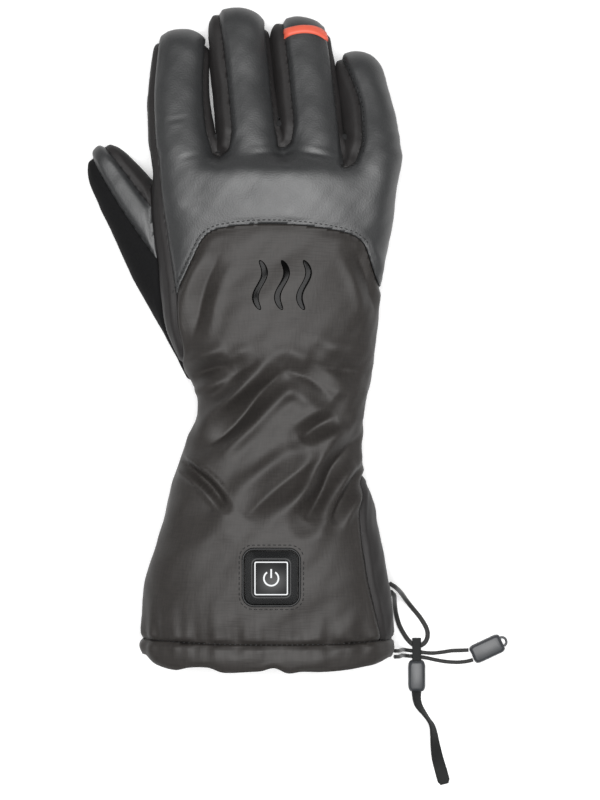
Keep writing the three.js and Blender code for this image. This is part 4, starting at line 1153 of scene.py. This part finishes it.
class Surface:
    """The finished skin, to lay things on."""

    def __init__(self, pattern):
        verts, faces = [], []
        for name in PANELS:
            mesh = bpy.data.objects[MADE + name].data
            first = len(verts)
            verts += [v.co.copy() for v in mesh.vertices]
            faces += [[first + i for i in p.vertices] for p in mesh.polygons]
        self.tree = BVHTree.FromPolygons(verts, faces)
        self.to_frame = into_frame(pattern)
        self.back = self.to_frame.inverted()

    def under(self, x, y):
        """The place on the skin below x, y and its way out, or else the nearest place."""
        above = self.to_frame @ Vector((x, y, 150))
        place, normal, _, _ = self.tree.ray_cast(above, Vector((0, 0, -1)))
        if place is None:
            place, normal, _, _ = self.tree.find_nearest(self.to_frame @ Vector((x, y, 15)))
        return self.back @ place, normal


# Finishes

def node(material, kind, inputs=None, **values):
    """Adds a node with its settings, its values and its links."""
    made = material.node_tree.nodes.new("ShaderNode" + kind)
    for key, value in values.items():
        setattr(made, key, value)
    for key, value in (inputs or {}).items():
        if isinstance(value, bpy.types.NodeSocket):
            material.node_tree.links.new(value, made.inputs[key])
        else:
            made.inputs[key].default_value = value
    return made


def made_once(name, make):
    """The material of that name, made by make from an empty one where it isn't there yet."""
    there = bpy.data.materials.get(name)
    if there:
        return there
    material = bpy.data.materials.new(name)
    material.use_nodes = True
    material.node_tree.nodes.clear()
    return make(material)


def shaded(material, colour, rough, bump=None, strength=0.5, depth=0.2, **values):
    """Ends a material with its surface; values are constant inputs by name with _ for a space."""
    inputs = {"Base Color": colour, "Roughness": rough}
    inputs.update({key.replace("_", " "): value for key, value in values.items()})
    if bump is not None:
        relief_node = node(material, "Bump", {"Height": bump, "Strength": strength, "Distance": depth * MM})
        inputs["Normal"] = relief_node.outputs[0]
    surface = node(material, "BsdfPrincipled", inputs)
    node(material, "OutputMaterial", {"Surface": surface.outputs[0]})
    return material


def around(material, colour, by, amount):
    """A colour made lighter and darker by a share of amount as a value goes from 0 to 1."""
    dark = [c * (1 - amount) for c in colour] + [1]
    light = [min(c * (1 + amount), 1) for c in colour] + [1]
    made = node(material, "Mix", {0: by, 6: dark, 7: light}, data_type="RGBA")
    return made.outputs[2]


def noise_at(material, place, size, detail=2.0):
    """Noise whose patches are about so many millimetres across, from 0 to 1."""
    return node(material, "TexNoise", {"Vector": place, "Scale": 1 / size, "Detail": detail}).outputs[0]


def in_millimetres(material):
    """The place on the piece in millimetres."""
    place = node(material, "TexCoord").outputs["Object"]
    scaled = node(material, "VectorMath", {0: place, 1: (1 / MM,) * 3}, operation="MULTIPLY")
    return scaled.outputs[0]


def grained(material, colour):
    """Pebbled leather with a dull gloss: fine round grain that breaks up the light on each finger, with
    painted shade in the grain's hollows and painted light on its rises.
    """
    place = in_millimetres(material)
    pebbles = node(material, "TexVoronoi", {"Vector": place, "Scale": 1 / PEBBLE}, feature="F1").outputs[0]
    patches = noise_at(material, place, 14)
    gloss = node(material, "MapRange", {"Value": patches, "To Min": 0.5, "To Max": 0.62})
    # The colour follows the same pebbles as the bump: darker where the grain sinks and lighter where it
    # rises, as painted shade and painted light
    base = around(material, colour, pebbles, 0.25)
    return shaded(material, base, gloss.outputs[0], pebbles, 0.35, 0.16, Specular_IOR_Level=1.0)


def woven(material, colour):
    """Plain-woven polyester shell with a satin face, its threads drawn coarser than they are."""
    cloth = node(material, "UVMap", uv_map="cloth").outputs[0]
    threads = []
    for way in ((1, 0.16, 1), (0.16, 1, 1)):
        turned = node(material, "VectorMath", {0: cloth, 1: way}, operation="MULTIPLY").outputs[0]
        threads.append(noise_at(material, turned, THREAD_PITCH, 1.0))
    both = node(material, "Math", {0: threads[0], 1: threads[1]}, operation="ADD").outputs[0]
    weave = node(material, "Math", {0: both, 1: 0.5}, operation="MULTIPLY").outputs[0]
    base = around(material, colour, weave, 0.5)
    return shaded(material, base, 0.6, weave, 0.5, 0.25, Specular_IOR_Level=0.45)


def mottled(rough, size, vary, detail=2.0, bump=(), **values):
    """How to make a look that varies with one noise: its size in millimetres, how far the colour goes to
    each side, and where there is a bump its strength and depth in millimetres."""
    def make(material, colour):
        noise = noise_at(material, in_millimetres(material), size, detail)
        return shaded(material, around(material, colour, noise, vary), rough, noise if bump else None, *bump,
                      **values)
    return make


PEBBLE = 0.8
THREAD_PITCH = 1.0
FLOOR_GLOW = 0.28
WHITE = (1, 1, 1, 1)
LOOKS = {
    # Padded leather with round pebbles and a dull gloss, its colour darkened in the pebbles' hollows as
    # painted shade
    "leather": ("Grained leather", grained),
    # Woven polyester with a satin face
    "fabric": ("Woven shell", woven),
    # Stretch fabric between the fingers: matt, with a fine soft nap
    "side_fabric": ("Stretch fabric", mottled(0.65, 0.7, 0.4, 3.0, (0.3, 0.12), Specular_IOR_Level=0.4)),
    # Brushed suede on the thumb's side: nearly black and without gloss
    "suede": ("Brushed suede", mottled(0.9, 1.1, 0.45, 3.0, (0.35, 0.15), Specular_IOR_Level=0.2)),
    # Brushed fleece lining, seen only in the open end
    "lining": ("Fleece lining", mottled(1.0, 1.4, 0.5, 3.0, (0.5, 0.3))),
    # Soft rubbery strip in a bright colour, slightly mottled
    "accent": ("Bright rubber", mottled(0.55, 5, 0.06, bump=(0.1, 0.1))),
    # Soft-touch rubber of the heat control: matt, with a fine spark-eroded grain
    "control": ("Soft-touch rubber", mottled(0.55, 0.5, 0.15, bump=(0.15, 0.06))),
    # White printing ink, a little uneven
    "mark": ("Printing ink", mottled(0.5, 2, 0.05)),
    # Glossy heat-set film on the fabric, black and smooth
    "film": ("Gloss film", mottled(0.16, 3, 0.2, bump=(0.1, 0.1), Specular_IOR_Level=0.09)),
    # Braided polyester over elastic: flecks of lighter yarn
    "cord": ("Braided cord", mottled(0.7, 0.7, 0.6, bump=(0.4, 0.1), Sheen_Weight=0.2)),
    # Narrow woven tape with a coarse uneven thread
    "webbing": ("Woven tape", mottled(0.75, 0.6, 0.5, bump=(0.4, 0.1), Specular_IOR_Level=0.3)),
    # Moulded nylon of the cord lock and end piece: satin, with faint flow marks
    "moulding": ("Moulded nylon", mottled(0.42, 4, 0.12, bump=(0.1, 0.05))),
    # Bonded sewing thread, slightly shiny
    "thread": ("Sewing thread", mottled(0.5, 0.4, 0.3)),
    # Plain pale backdrop, lit from below like a light table so that shadows stay faint
    "floor": ("Backdrop", mottled(0.9, 300, 0.01, Emission_Color=WHITE, Emission_Strength=FLOOR_GLOW)),
}


def finish(key):
    """The material for one of the LOOKS, in the colour that the user sets for it."""
    scene = bpy.context.scene
    name, make = LOOKS[key]
    colour = scene.glove_stage.floor if key == "floor" else getattr(scene.glove_colours, key)
    return made_once(name, lambda material: make(material, colour))


# Shapes for the small parts

def rounded_square(size, corner, steps=8):
    """The outline of a square with round corners, as places in plan."""
    half = size / 2 - corner
    places = []
    for turn, (sx, sy) in enumerate(((1, 1), (-1, 1), (-1, -1), (1, -1))):
        for i in range(steps + 1):
            angle = math.pi / 2 * (turn + i / steps)
            places.append((sx * half + corner * math.cos(angle), sy * half + corner * math.sin(angle)))
    return places


def joined(bm, loops):
    """Faces between each loop of vertices and the next, and over both ends."""
    for low, high in zip(loops, loops[1:]):
        for i in range(len(low)):
            j = (i + 1) % len(low)
            bm.faces.new((low[i], low[j], high[j], high[i]))
    bm.faces.new(loops[0][::-1])
    bm.faces.new(loops[-1])
    bmesh.ops.recalc_face_normals(bm, faces=bm.faces)
    return bm


def stacked(bm, rings):
    """A closed form through outlines with equal numbers of places, each as (places, z)."""
    return joined(bm, [[bm.verts.new((x, y, z)) for x, y in places] for places, z in rings])


def band(bm, outer, inner, low, high, closed=True):
    """A flat band between two outlines, from one height to another."""
    rails = [[bm.verts.new((x, y, z)) for x, y in line]
             for line, z in ((outer, low), (outer, high), (inner, high), (inner, low))]
    count = len(outer)
    for first, second in zip(rails, rails[1:] + rails[:1]):
        for i in range(count if closed else count - 1):
            j = (i + 1) % count
            bm.faces.new((first[i], first[j], second[j], second[i]))
    if not closed:
        bm.faces.new([rail[0] for rail in rails])
        bm.faces.new([rail[-1] for rail in rails[::-1]])
    bmesh.ops.recalc_face_normals(bm, faces=bm.faces)


def frames_along(line):
    """For each place on a line: the way on and two directions across it, turned as little as possible."""
    ways = np.gradient(line, axis=0)
    ways /= np.linalg.norm(ways, axis=1)[:, None]
    side = np.cross(ways[0], [0, 0, 1])
    sides = []
    for way in ways:
        side = side - way * (side @ way)
        side = side / np.linalg.norm(side)
        sides.append(side)
    sides = np.array(sides)
    return ways, sides, np.cross(sides, ways)


def swept(bm, line, outline, turns=None):
    """A closed form with an outline at each place of a line; turns are angles on edge."""
    _, sides, ups = frames_along(line)
    loops = []
    for i, place in enumerate(line):
        a = turns[i] if turns is not None else 0
        across = math.cos(a) * sides[i] + math.sin(a) * ups[i]
        up = math.cos(a) * ups[i] - math.sin(a) * sides[i]
        loops.append([bm.verts.new(place + u * across + w * up) for u, w in outline(i)])
    return joined(bm, loops)


def capsules(bm, stitches, length, thick):
    """Small rounded stitches at (place, way, normal), lying on the surface."""
    for place, way, normal in stitches:
        across = normal.cross(way).normalized()
        way = across.cross(normal).normalized()
        turn = Matrix((way, across, normal)).transposed().to_4x4()
        shape = Matrix.Diagonal((length, thick, thick, 1))
        at = Matrix.Translation(place + normal * thick * 0.2)
        bmesh.ops.create_uvsphere(bm, u_segments=8, v_segments=5, radius=0.5, matrix=at @ turn @ shape)


def stitched(surface, line, length, pitch):
    """Stitches on the skin along a line in plan."""
    line = np.asarray(line, float)
    run = run_along(line)
    found = []
    for along in np.arange(pitch, run[-1], pitch):
        ends = [surface.under(*[np.interp(s, run, line[:, i]) for i in (0, 1)])
                for s in (along - length / 2, along + length / 2)]
        (a, normal), (b, _) = ends
        if (b - a).length > 1e-6:
            found.append(((a + b) / 2, (b - a).normalized(), normal))
    return found


def beside(line, by):
    """A line in plan moved sideways to its left."""
    line = np.asarray(line, float)
    way = np.gradient(line, axis=0)
    way /= np.linalg.norm(way, axis=1)[:, None]
    return line + by * np.column_stack([-way[:, 1], way[:, 0]])


# Strips on the skin: places across, depth below the skin, sharpness of the edge, and height over the skin
FILM = {"across": 7, "sunk": 0.6, "edge": 6, "clear": 0.06}


def film(bm, surface, left, right, rise):
    """A thin strip between two lines in plan, lying on the skin, closed, and rounded at its edges."""
    grids = []
    count = FILM["across"]
    for lift in (rise, -FILM["sunk"]):
        grid = []
        for (ax, ay), (bx, by) in zip(left, right):
            strip = []
            for j in range(count):
                t = j / (count - 1)
                place, normal = surface.under(mix(ax, bx, t), mix(ay, by, t))
                edge = 1 - (2 * t - 1) ** FILM["edge"] if lift > 0 else 1
                strip.append(bm.verts.new(place + normal * (lift * edge + FILM["clear"])))
            grid.append(strip)
        grids.append(grid)
    for grid in grids:
        for near, far in zip(grid, grid[1:]):
            for j in range(count - 1):
                bm.faces.new((near[j], near[j + 1], far[j + 1], far[j]))
    rims = [(grids[0][0], grids[1][0]), (grids[0][-1], grids[1][-1])]
    rims += [([row[j] for row in grids[0]], [row[j] for row in grids[1]]) for j in (0, -1)]
    for upper, lower in rims:
        for i in range(len(upper) - 1):
            bm.faces.new((upper[i], upper[i + 1], lower[i + 1], lower[i]))
    bmesh.ops.recalc_face_normals(bm, faces=bm.faces)
    return bm


# Tables for the small parts, in millimetres unless named as shares

ACCENT_TOP = [[0.041, 0.966], [0.106, 0.9705], [0.165, 0.9695], [0.197, 0.9645], [0.212, 0.9575]]
ACCENT_BOTTOM = [[0.037, 0.9495], [0.076, 0.9552], [0.126, 0.9574], [0.172, 0.9548], [0.215, 0.9465]]
ACCENT_RISE = 0.9

TRAY_RINGS = rows(
    "size corner z",
    [[28.4, 5.6, -5.4], [29.4, 6, -4.6], [29.4, 6, 0.9], [28.9, 5.8, 1.4], [28.2, 5.5, 1.6],
     [27.3, 5, 1.3], [26.8, 4.7, 0.6], [26.8, 4.7, -4.1]],
)
BUTTON_RINGS = rows(
    "size corner z",
    [[26.2, 4.4, -3], [26.2, 4.4, 3.4], [26, 4.3, 3.8], [25.4, 4.1, 4.2], [23.4, 3.8, 5.5], [21.2, 3.4, 7.1],
     [20.4, 3.1, 7.55], [19.4, 2.8, 7.8], [18.4, 2.6, 7.75], [17.9, 2.4, 7.3]],
)
CONTROL_SHIFT = 1.5
CONTROL_WELT = {"size": 32, "corner": 6.5}
# The printed frame and power sign: open is half the gap in degrees, past how far the bar passes the ring
MARK_FRAME = {"outer": 16.6, "corner": 0.9, "line": 0.55, "z": 7.3, "rise": 0.25, "sunk": 0.2}
POWER_SIGN = {"radius": 3.6, "line": 0.8, "open": 34, "bar": 4.4, "past": 1}

HEAT_LINES = {"across": 0.03, "along": 0.577, "apart": 11, "tall": 25, "wide": 3.4, "wave": 2.3}

LOOP_CORD = [
    [58.7, 44.8, 22], [61.4, 43, 19.8], [64.6, 39.6, 12], [67.8, 35, 5.4], [71.4, 30.4, 2.4],
    [75.1, 25.8, 1.4], [78.3, 20.4, 1.35], [79, 16.4, 1.35], [77.4, 12.6, 1.35], [74, 11, 1.35],
    [70.6, 12.4, 1.35],
    [67.5, 16, 1.35], [64.4, 21.6, 1.5], [62.6, 27.6, 3], [61.8, 32.4, 6.8], [61.4, 36, 12],
    [60.9, 38.6, 16.4], [59.3, 40.4, 19],
]
DRAW_CORDS = {
    "upper": [
        [61.2, 10.6, 23], [63, 10.4, 21], [64.4, 10, 14], [65.4, 9.6, 7], [66.8, 9.2, 2.6], [69.2, 8.7, 1.2],
        [73, 8.2, 1.1], [77, 7.6, 1.1], [81.5, 7.3, 1.2], [86.5, 7.8, 1.4], [91.5, 8.6, 1.8], [96, 8.8, 2.2],
        [100.1, 9, 2.4],
    ],
    "lower": [
        [61.2, 7.6, 23], [63, 7.4, 21], [64.4, 7, 14], [65.4, 6.6, 7], [66.8, 6.2, 2.6], [69.2, 5.8, 1.2],
        [73, 5.6, 1.1], [78, 4.9, 1.1], [83, 3.8, 1.1], [88.5, 2.9, 1.3], [94, 2.6, 1.7], [98.6, 3, 2.2],
        [102.5, 3.9, 2.4],
    ],
}
PULL = rows(
    "x y z turn",
    [[73.2, 15.4, 3.6, 0], [73.2, 2.6, 3.6, 0], [73.2, -14.6, 3.6, 0], [74.3, -19.5, 2.9, 20],
     [78, -25, 3.5, 50], [80.9, -29.5, 4.3, 80], [81.9, -33.5, 3.9, 62], [82.8, -40, 2.8, 26],
     [84.1, -47, 1.5, 8], [86, -54, 1.15, 0], [87.8, -60.6, 1.15, 0]],
)
# The pull is narrower where it runs through the lock, and folded back and sewn at its end
PULL_SHAPE = {"neck": 0.72, "widens": (0.12, 0.3), "tip": 0.7, "doubled": 1.6, "folded_back": 8,
              "flat": 0.35, "edge": 0.6}
PULL_STEPS = 150
PULL_SIDES = 24
LOCK_AT = (73.2, -4.2)
LOCK = {"width": 8.8, "length": 16, "height": 5.6, "corner": 2, "middle": 3.6}
# How far the block is drawn in at each level, from its middle (-1 to 1) and from its foot
LOCK_LEVELS = [(-1, 1.5), (-0.8, 0.5), (-0.4, 0), (0.4, 0), (0.8, 0.5), (1, 1.5)]
END_LEVELS = [(0, 1.3), (0.5, 0.4), (1.4, 0), (3.4, 0), (4.3, 0.5), (4.8, 1.5)]
BLOCK_UNIT = 10
END_AT = (109.8, 9.7)
END = {"length": 17, "width": 9.8, "height": 4.8, "corner": 1.6, "turn": 25, "ring": 3.8, "wire": 1.2}


# Where the camera looks, in the pattern's millimetres, and the height that its distance is measured from
VIEW_MIDDLE = (12.75, 138.7)
VIEW_HEIGHT = 25
ROOM_LIGHT = 0.05
FLOOR_HALF = 6


# Operators

class GLOVE_OT_stage(bpy.types.Operator):
    """Adds the pale floor, the soft light overhead and the camera looking straight down"""
    bl_idname = "glove.stage"
    bl_label = "Stage"

    def execute(self, context):
        scene, stage = context.scene, context.scene.glove_stage
        pattern, _ = settings()
        bm = bmesh.new()
        bmesh.ops.create_grid(bm, x_segments=1, y_segments=1, size=FLOOR_HALF)
        mesh = bpy.data.meshes.new("backdrop")
        bm.to_mesh(mesh)
        bm.free()
        floor = bpy.data.objects.new("backdrop", mesh)
        mesh.materials.append(finish("floor"))
        light = bpy.data.lights.new("softbox", "AREA")
        light.shape = "SQUARE"
        light.size = stage.softbox
        light.energy = stage.softbox_power
        softbox = bpy.data.objects.new("softbox", light)
        middle = into_frame(pattern) @ Vector((*VIEW_MIDDLE, 0))
        softbox.location = (middle.x, middle.y, stage.softbox_height)
        lens = bpy.data.cameras.new("camera")
        lens.lens = stage.lens
        camera = bpy.data.objects.new("camera", lens)
        camera.location = (middle.x, middle.y, stage.distance + VIEW_HEIGHT * MM)
        for obj in (floor, softbox, camera):
            scene.collection.objects.link(obj)
        scene.camera = camera
        world = bpy.data.worlds.new("room")
        scene.world = world
        world.use_nodes = True
        world.node_tree.nodes["Background"].inputs[0].default_value = WHITE
        world.node_tree.nodes["Background"].inputs[1].default_value = ROOM_LIGHT
        scene.view_settings.view_transform = "Standard"
        return {"FINISHED"}


CORD_SIDES = 14
CORD_STEPS = 8
# The braid's ridges: height as a share of the radius, number round the cord, and turn per millimetre
BRAID = {"height": 0.05, "around": 3, "turn": 2.6}


def cord_between(name, route, diameter, nodes):
    """A braided cord as a tube along a route."""
    pattern, _ = settings()
    line = smooth_line(route, CORD_STEPS * len(route))
    bm = bmesh.new()
    run = run_along(line)

    def outline(i):
        places = []
        for k in range(CORD_SIDES):
            angle = 2 * math.pi * k / CORD_SIDES
            round_it, along_it = BRAID["around"] * angle, run[i] * BRAID["turn"]
            braid = 1 + BRAID["height"] * math.sin(round_it + along_it) * math.sin(round_it - along_it)
            places.append((diameter / 2 * braid * math.cos(angle), diameter / 2 * braid * math.sin(angle)))
        return places

    swept(bm, line, outline)
    to_frame = into_frame(pattern)
    path = [to_frame @ Vector(p) for p in line]
    obj = piece(bm, name, ["cord"], nodes, "cord")
    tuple(path[0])
    return obj


class GLOVE_OT_cords(bpy.types.Operator):
    """Models the elastic loop with its lock and pull, and the hem's drawcord with its end piece"""
    bl_idname = "glove.cords"
    bl_label = "Cords"

    def execute(self, context):
        cords = context.scene.glove_cords
        make_pull(cords.strap_width / MM, cords.strap_thick / MM)
        lock = make_lock()
        end = make_end()
        cord_between("loop_cord", LOOP_CORD, cords.loop_diameter / MM, ["loop_cord"])
        for side, route in DRAW_CORDS.items():
            name = "draw_cord_" + side
            cord_between(name, route, cords.draw_diameter / MM, [name])
        return {"FINISHED"}


def make_pull(width, thick):
    """The webbing pull: a loop over the cord, through the lock, a twist and a folded end."""
    places = [list(row.values()) for row in PULL]
    line = smooth_line([place[:3] for place in places], PULL_STEPS)
    turns = np.radians(smooth_line(places, PULL_STEPS)[:, 3])
    last = len(line) - 1
    step = np.linalg.norm(line[1] - line[0])

    def outline(i):
        to_end = (last - i) * step
        half = width / 2 * mix(PULL_SHAPE["neck"], 1, ramp(i / last, *PULL_SHAPE["widens"]))
        half *= mix(PULL_SHAPE["tip"], 1, ramp(to_end, 0, 2))
        high = thick / 2 * (PULL_SHAPE["doubled"] if to_end < PULL_SHAPE["folded_back"] else 1)
        angles = [2 * math.pi * k / PULL_SIDES for k in range(PULL_SIDES)]
        return [(half * math.copysign(abs(math.cos(a)) ** PULL_SHAPE["flat"], math.cos(a)),
                 high * math.copysign(abs(math.sin(a)) ** PULL_SHAPE["edge"], math.sin(a))) for a in angles]

    bm = swept(bmesh.new(), line, outline, turns)
    pattern, _ = settings()
    to_frame = into_frame(pattern)
    path = [to_frame @ Vector(p) for p in line]
    obj = piece(bm, "pull_strap", ["webbing"], ["pull_strap"], "webbing")
    length = sum((b - a).length for a, b in zip(path, path[1:]))
    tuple(path[0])
    return obj


def rounded_block(bm, length, width, corner, levels):
    """A block with round corners, drawn in by an inset at each of its levels; levels are (z, inset)."""
    unit = rounded_square(BLOCK_UNIT, corner)
    return stacked(bm, [
        ([(x * (length - 2 * inset) / BLOCK_UNIT, y * (width - 2 * inset) / BLOCK_UNIT) for x, y in unit], z)
        for z, inset in levels
    ])


def make_lock():
    """The cord lock's rounded body."""
    half, middle = LOCK["height"] / 2, LOCK["middle"]
    levels = [(middle + share * half, inset) for share, inset in LOCK_LEVELS]
    bm = rounded_block(bmesh.new(), LOCK["width"], LOCK["length"], LOCK["corner"], levels)
    bm.transform(Matrix.Translation((*LOCK_AT, 0)))
    return piece(bm, "cord_lock", ["moulding"], ["cord_lock"], "moulding")


def make_end():
    """The moulded end piece in which both halves of the drawcord end."""
    bm = rounded_block(bmesh.new(), END["length"], END["width"], END["corner"], END_LEVELS)
    turns = np.linspace(0, 2 * math.pi, 40)
    ring = np.column_stack([
        END["length"] / 2 + END["ring"] * (0.1 + 0.5 * np.cos(turns)),
        END["ring"] * 0.6 * np.sin(turns), np.full(len(turns), END["height"] / 2)])
    wire = [(END["wire"] / 2 * math.cos(a), END["wire"] / 2 * math.sin(a)) for a in turns[:-1:4]]
    swept(bm, ring, lambda i: wire)
    bm.transform(Matrix.Translation((*END_AT, 0)) @ Matrix.Rotation(math.radians(END["turn"]), 4, "Z"))
    return piece(bm, "cord_end", ["moulding"], ["cord_end"], "moulding")


class GLOVE_OT_skin(bpy.types.Operator):
    """Lofts the glove's skin and cuts it along its seams"""
    bl_idname = "glove.skin"
    bl_label = "Skin"

    def execute(self, context):
        pattern, size = settings()
        cut_skin(pattern, size["grain"])
        return {"FINISHED"}


class GLOVE_OT_leather(bpy.types.Operator):
    """Finishes the leather of the fingers' backs, the palm and the thumb's strip and front"""
    bl_idname = "glove.leather"
    bl_label = "Leather"

    def execute(self, context):
        for name in ("back_leather", "palm_leather", "thumb_strip", "thumb_palm_panel"):
            make_panel(name, "leather", "leather")
        return {"FINISHED"}


class GLOVE_OT_side_fabric(bpy.types.Operator):
    """Finishes the fabric between the fingers, along the hand, in the cuff's side and on the thumb"""
    bl_idname = "glove.side_fabric"
    bl_label = "Side fabric"

    def execute(self, context):
        for name in ("index_side_strip", *SIDE_PANELS, "thumb_inner_panel", "cuff_gusset"):
            make_panel(name, "side_fabric", "side_fabric")
        make_panel("thumb_outer_panel", "suede", "suede")
        return {"FINISHED"}


class GLOVE_OT_cuff(bpy.types.Operator):
    """Finishes the cuff with its folds, and the hem's channel"""
    bl_idname = "glove.cuff"
    bl_label = "Cuff and hem"

    def execute(self, context):
        for name in ("cuff", "hem"):
            make_panel(name, "fabric", "cuff_fabric")
        return {"FINISHED"}


class GLOVE_OT_stitching(bpy.types.Operator):
    """Sews visible stitches along the arch, round the control, on the little finger and on the hem"""
    bl_idname = "glove.stitching"
    bl_label = "Stitching"

    def execute(self, context):
        pattern, size = settings()
        surface = Surface(pattern)
        arch = pattern.arch_outline()[1:-4]
        middle = pattern.place((CONTROL_AT["across"], CONTROL_AT["along"])) + [0, CONTROL_SHIFT]
        welt = [middle + place for place in rounded_square(CONTROL_WELT["size"], CONTROL_WELT["corner"])]
        along = np.linspace(CROTCHES[2] + SEAM_END, FINGERS[3]["reach"] - SEAM_END, 40) * pattern.length
        across = np.linspace(*HEM_STITCHED, 60) * pattern.width
        hem = np.column_stack([across, across * 0, across * 0])
        rows_of_stitches = {
            "arch": (beside(arch, STITCH_INSET), "leather"),
            "control": ([*welt, welt[0]], "cuff_fabric"),
            "little": (beside(pattern.finger_seam(3, "left", along), -LITTLE_INSET), "leather"),
            "hem": (np.column_stack([across, pattern.hem_seam(hem) + HEM_INSET]), "cuff_fabric"),
        }
        length, pitch, thread = size["stitch_length"], size["stitch_pitch"], size["thread"]
        for name, (line, slot) in rows_of_stitches.items():
            bm = bmesh.new()
            capsules(bm, stitched(surface, line, length, pitch), length, thread)
            piece(bm, name + "_stitches", ["thread"], slot=slot)
        return {"FINISHED"}


class GLOVE_OT_accent(bpy.types.Operator):
    """Lays the bright strip over the ring fingertip"""
    bl_idname = "glove.accent"
    bl_label = "Bright strip"

    def execute(self, context):
        pattern, _ = settings()
        surface = Surface(pattern)
        edges = [smooth_line([pattern.place(at) for at in line], 36) for line in (ACCENT_TOP, ACCENT_BOTTOM)]
        bm = film(bmesh.new(), surface, *edges, ACCENT_RISE)
        piece(bm, "accent_strip", ["accent"], ["accent_strip"], "accent")
        return {"FINISHED"}


def seated(pattern, bm):
    """Moves a part of the control from its own middle and lip to its place."""
    low, high = (Vector(corner) / MM - pattern.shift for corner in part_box("control_tray"))
    lip = max(ring["z"] for ring in TRAY_RINGS)
    middle = (low + high) / 2
    bm.transform(Matrix.Translation((middle.x, middle.y + CONTROL_SHIFT, high.z - lip)))
    return bm


def from_rings(table):
    outlines = [(rounded_square(ring["size"], ring["corner"]), ring["z"]) for ring in table]
    return stacked(bmesh.new(), outlines)


class GLOVE_OT_control(bpy.types.Operator):
    """Models the heat control: its bezel, its push button and the printed mark"""
    bl_idname = "glove.control"
    bl_label = "Heat control"

    def execute(self, context):
        pattern, _ = settings()
        piece(seated(pattern, from_rings(TRAY_RINGS)), "control_tray", ["control"], ["control_tray"],
              "control")
        piece(seated(pattern, from_rings(BUTTON_RINGS)), "control_button", ["control"],
              ["control_button"], "control", BUTTON)
        mark = bmesh.new()
        low, high = MARK_FRAME["z"] - MARK_FRAME["sunk"], MARK_FRAME["z"] + MARK_FRAME["rise"]
        line, size, corner = (MARK_FRAME[key] for key in ("line", "outer", "corner"))
        inside = rounded_square(size - 2 * line, corner - line / 2)
        band(mark, rounded_square(size, corner), inside, low, high)
        half, radius = POWER_SIGN["line"] / 2, POWER_SIGN["radius"]
        start = math.radians(90 + POWER_SIGN["open"])
        arc = [start + math.radians(360 - 2 * POWER_SIGN["open"]) * i / 30 for i in range(31)]
        rims = [[(r * math.cos(a), r * math.sin(a)) for a in arc] for r in (radius + half, radius - half)]
        band(mark, *rims, low, high, closed=False)
        top = radius + POWER_SIGN["past"]
        foot = top - POWER_SIGN["bar"]
        band(mark, [(half, top), (half, foot)], [(-half, top), (-half, foot)], low, high, closed=False)
        piece(seated(pattern, mark), "control_mark", ["mark"], slot="control", body=BUTTON, smooth=False)
        return {"FINISHED"}


class GLOVE_OT_heat_lines(bpy.types.Operator):
    """Lays three wavy lines of gloss film below the arch, as a plain sign for heat"""
    bl_idname = "glove.heat_lines"
    bl_label = "Heat lines"

    def execute(self, context):
        pattern, _ = settings()
        surface = Surface(pattern)
        middle = pattern.place((HEAT_LINES["across"], HEAT_LINES["along"]))
        bm = bmesh.new()
        for k in (-1, 0, 1):
            ts = np.linspace(-0.5, 0.5, 40)
            x = middle[0] + k * HEAT_LINES["apart"] + HEAT_LINES["wave"] * np.sin(2 * math.pi * ts)
            y = middle[1] + ts * HEAT_LINES["tall"]
            half = HEAT_LINES["wide"] / 2 * np.sqrt(np.maximum(1 - (2 * np.abs(ts)) ** 8, 0.05))
            film(bm, surface, np.column_stack([x - half, y]), np.column_stack([x + half, y]), 0.15)
        piece(bm, "heat_lines", ["film"], slot="cuff_fabric")
        return {"FINISHED"}


class GLOVE_PT_panel(bpy.types.Panel):
    """Lists the glove's making in order"""
    bl_idname = "GLOVE_PT_panel"
    bl_label = "Heated Glove"
    bl_space_type = "VIEW_3D"
    bl_region_type = "UI"
    bl_category = "Glove"

    def draw(self, context):
        for name, group in GROUPS.items():
            box = self.layout.box()
            box.label(text=group.__doc__)
            for key in group.__annotations__:
                box.prop(getattr(context.scene, name), key)
        for operator in OPERATORS:
            self.layout.operator(operator.bl_idname)


OPERATORS = [
    GLOVE_OT_stage, GLOVE_OT_cords, GLOVE_OT_skin, GLOVE_OT_leather, GLOVE_OT_side_fabric, GLOVE_OT_cuff,
    GLOVE_OT_stitching, GLOVE_OT_accent, GLOVE_OT_control, GLOVE_OT_heat_lines,
]


def register():
    for kind in (*GROUPS.values(), *OPERATORS, GLOVE_PT_panel):
        bpy.utils.register_class(kind)
    for name, group in GROUPS.items():
        setattr(bpy.types.Scene, name, bpy.props.PointerProperty(type=group))


def unregister():
    for name in GROUPS:
        delattr(bpy.types.Scene, name)
    for kind in (GLOVE_PT_panel, *reversed(OPERATORS), *reversed(GROUPS.values())):
        bpy.utils.unregister_class(kind)


def main():
    register()
    for operator in OPERATORS:
        group, name = operator.bl_idname.split(".")
        if getattr(getattr(bpy.ops, group), name)() != {"FINISHED"}:
            raise RuntimeError(f"{operator.bl_label} did not finish")


if __name__ == "__main__":
    main()
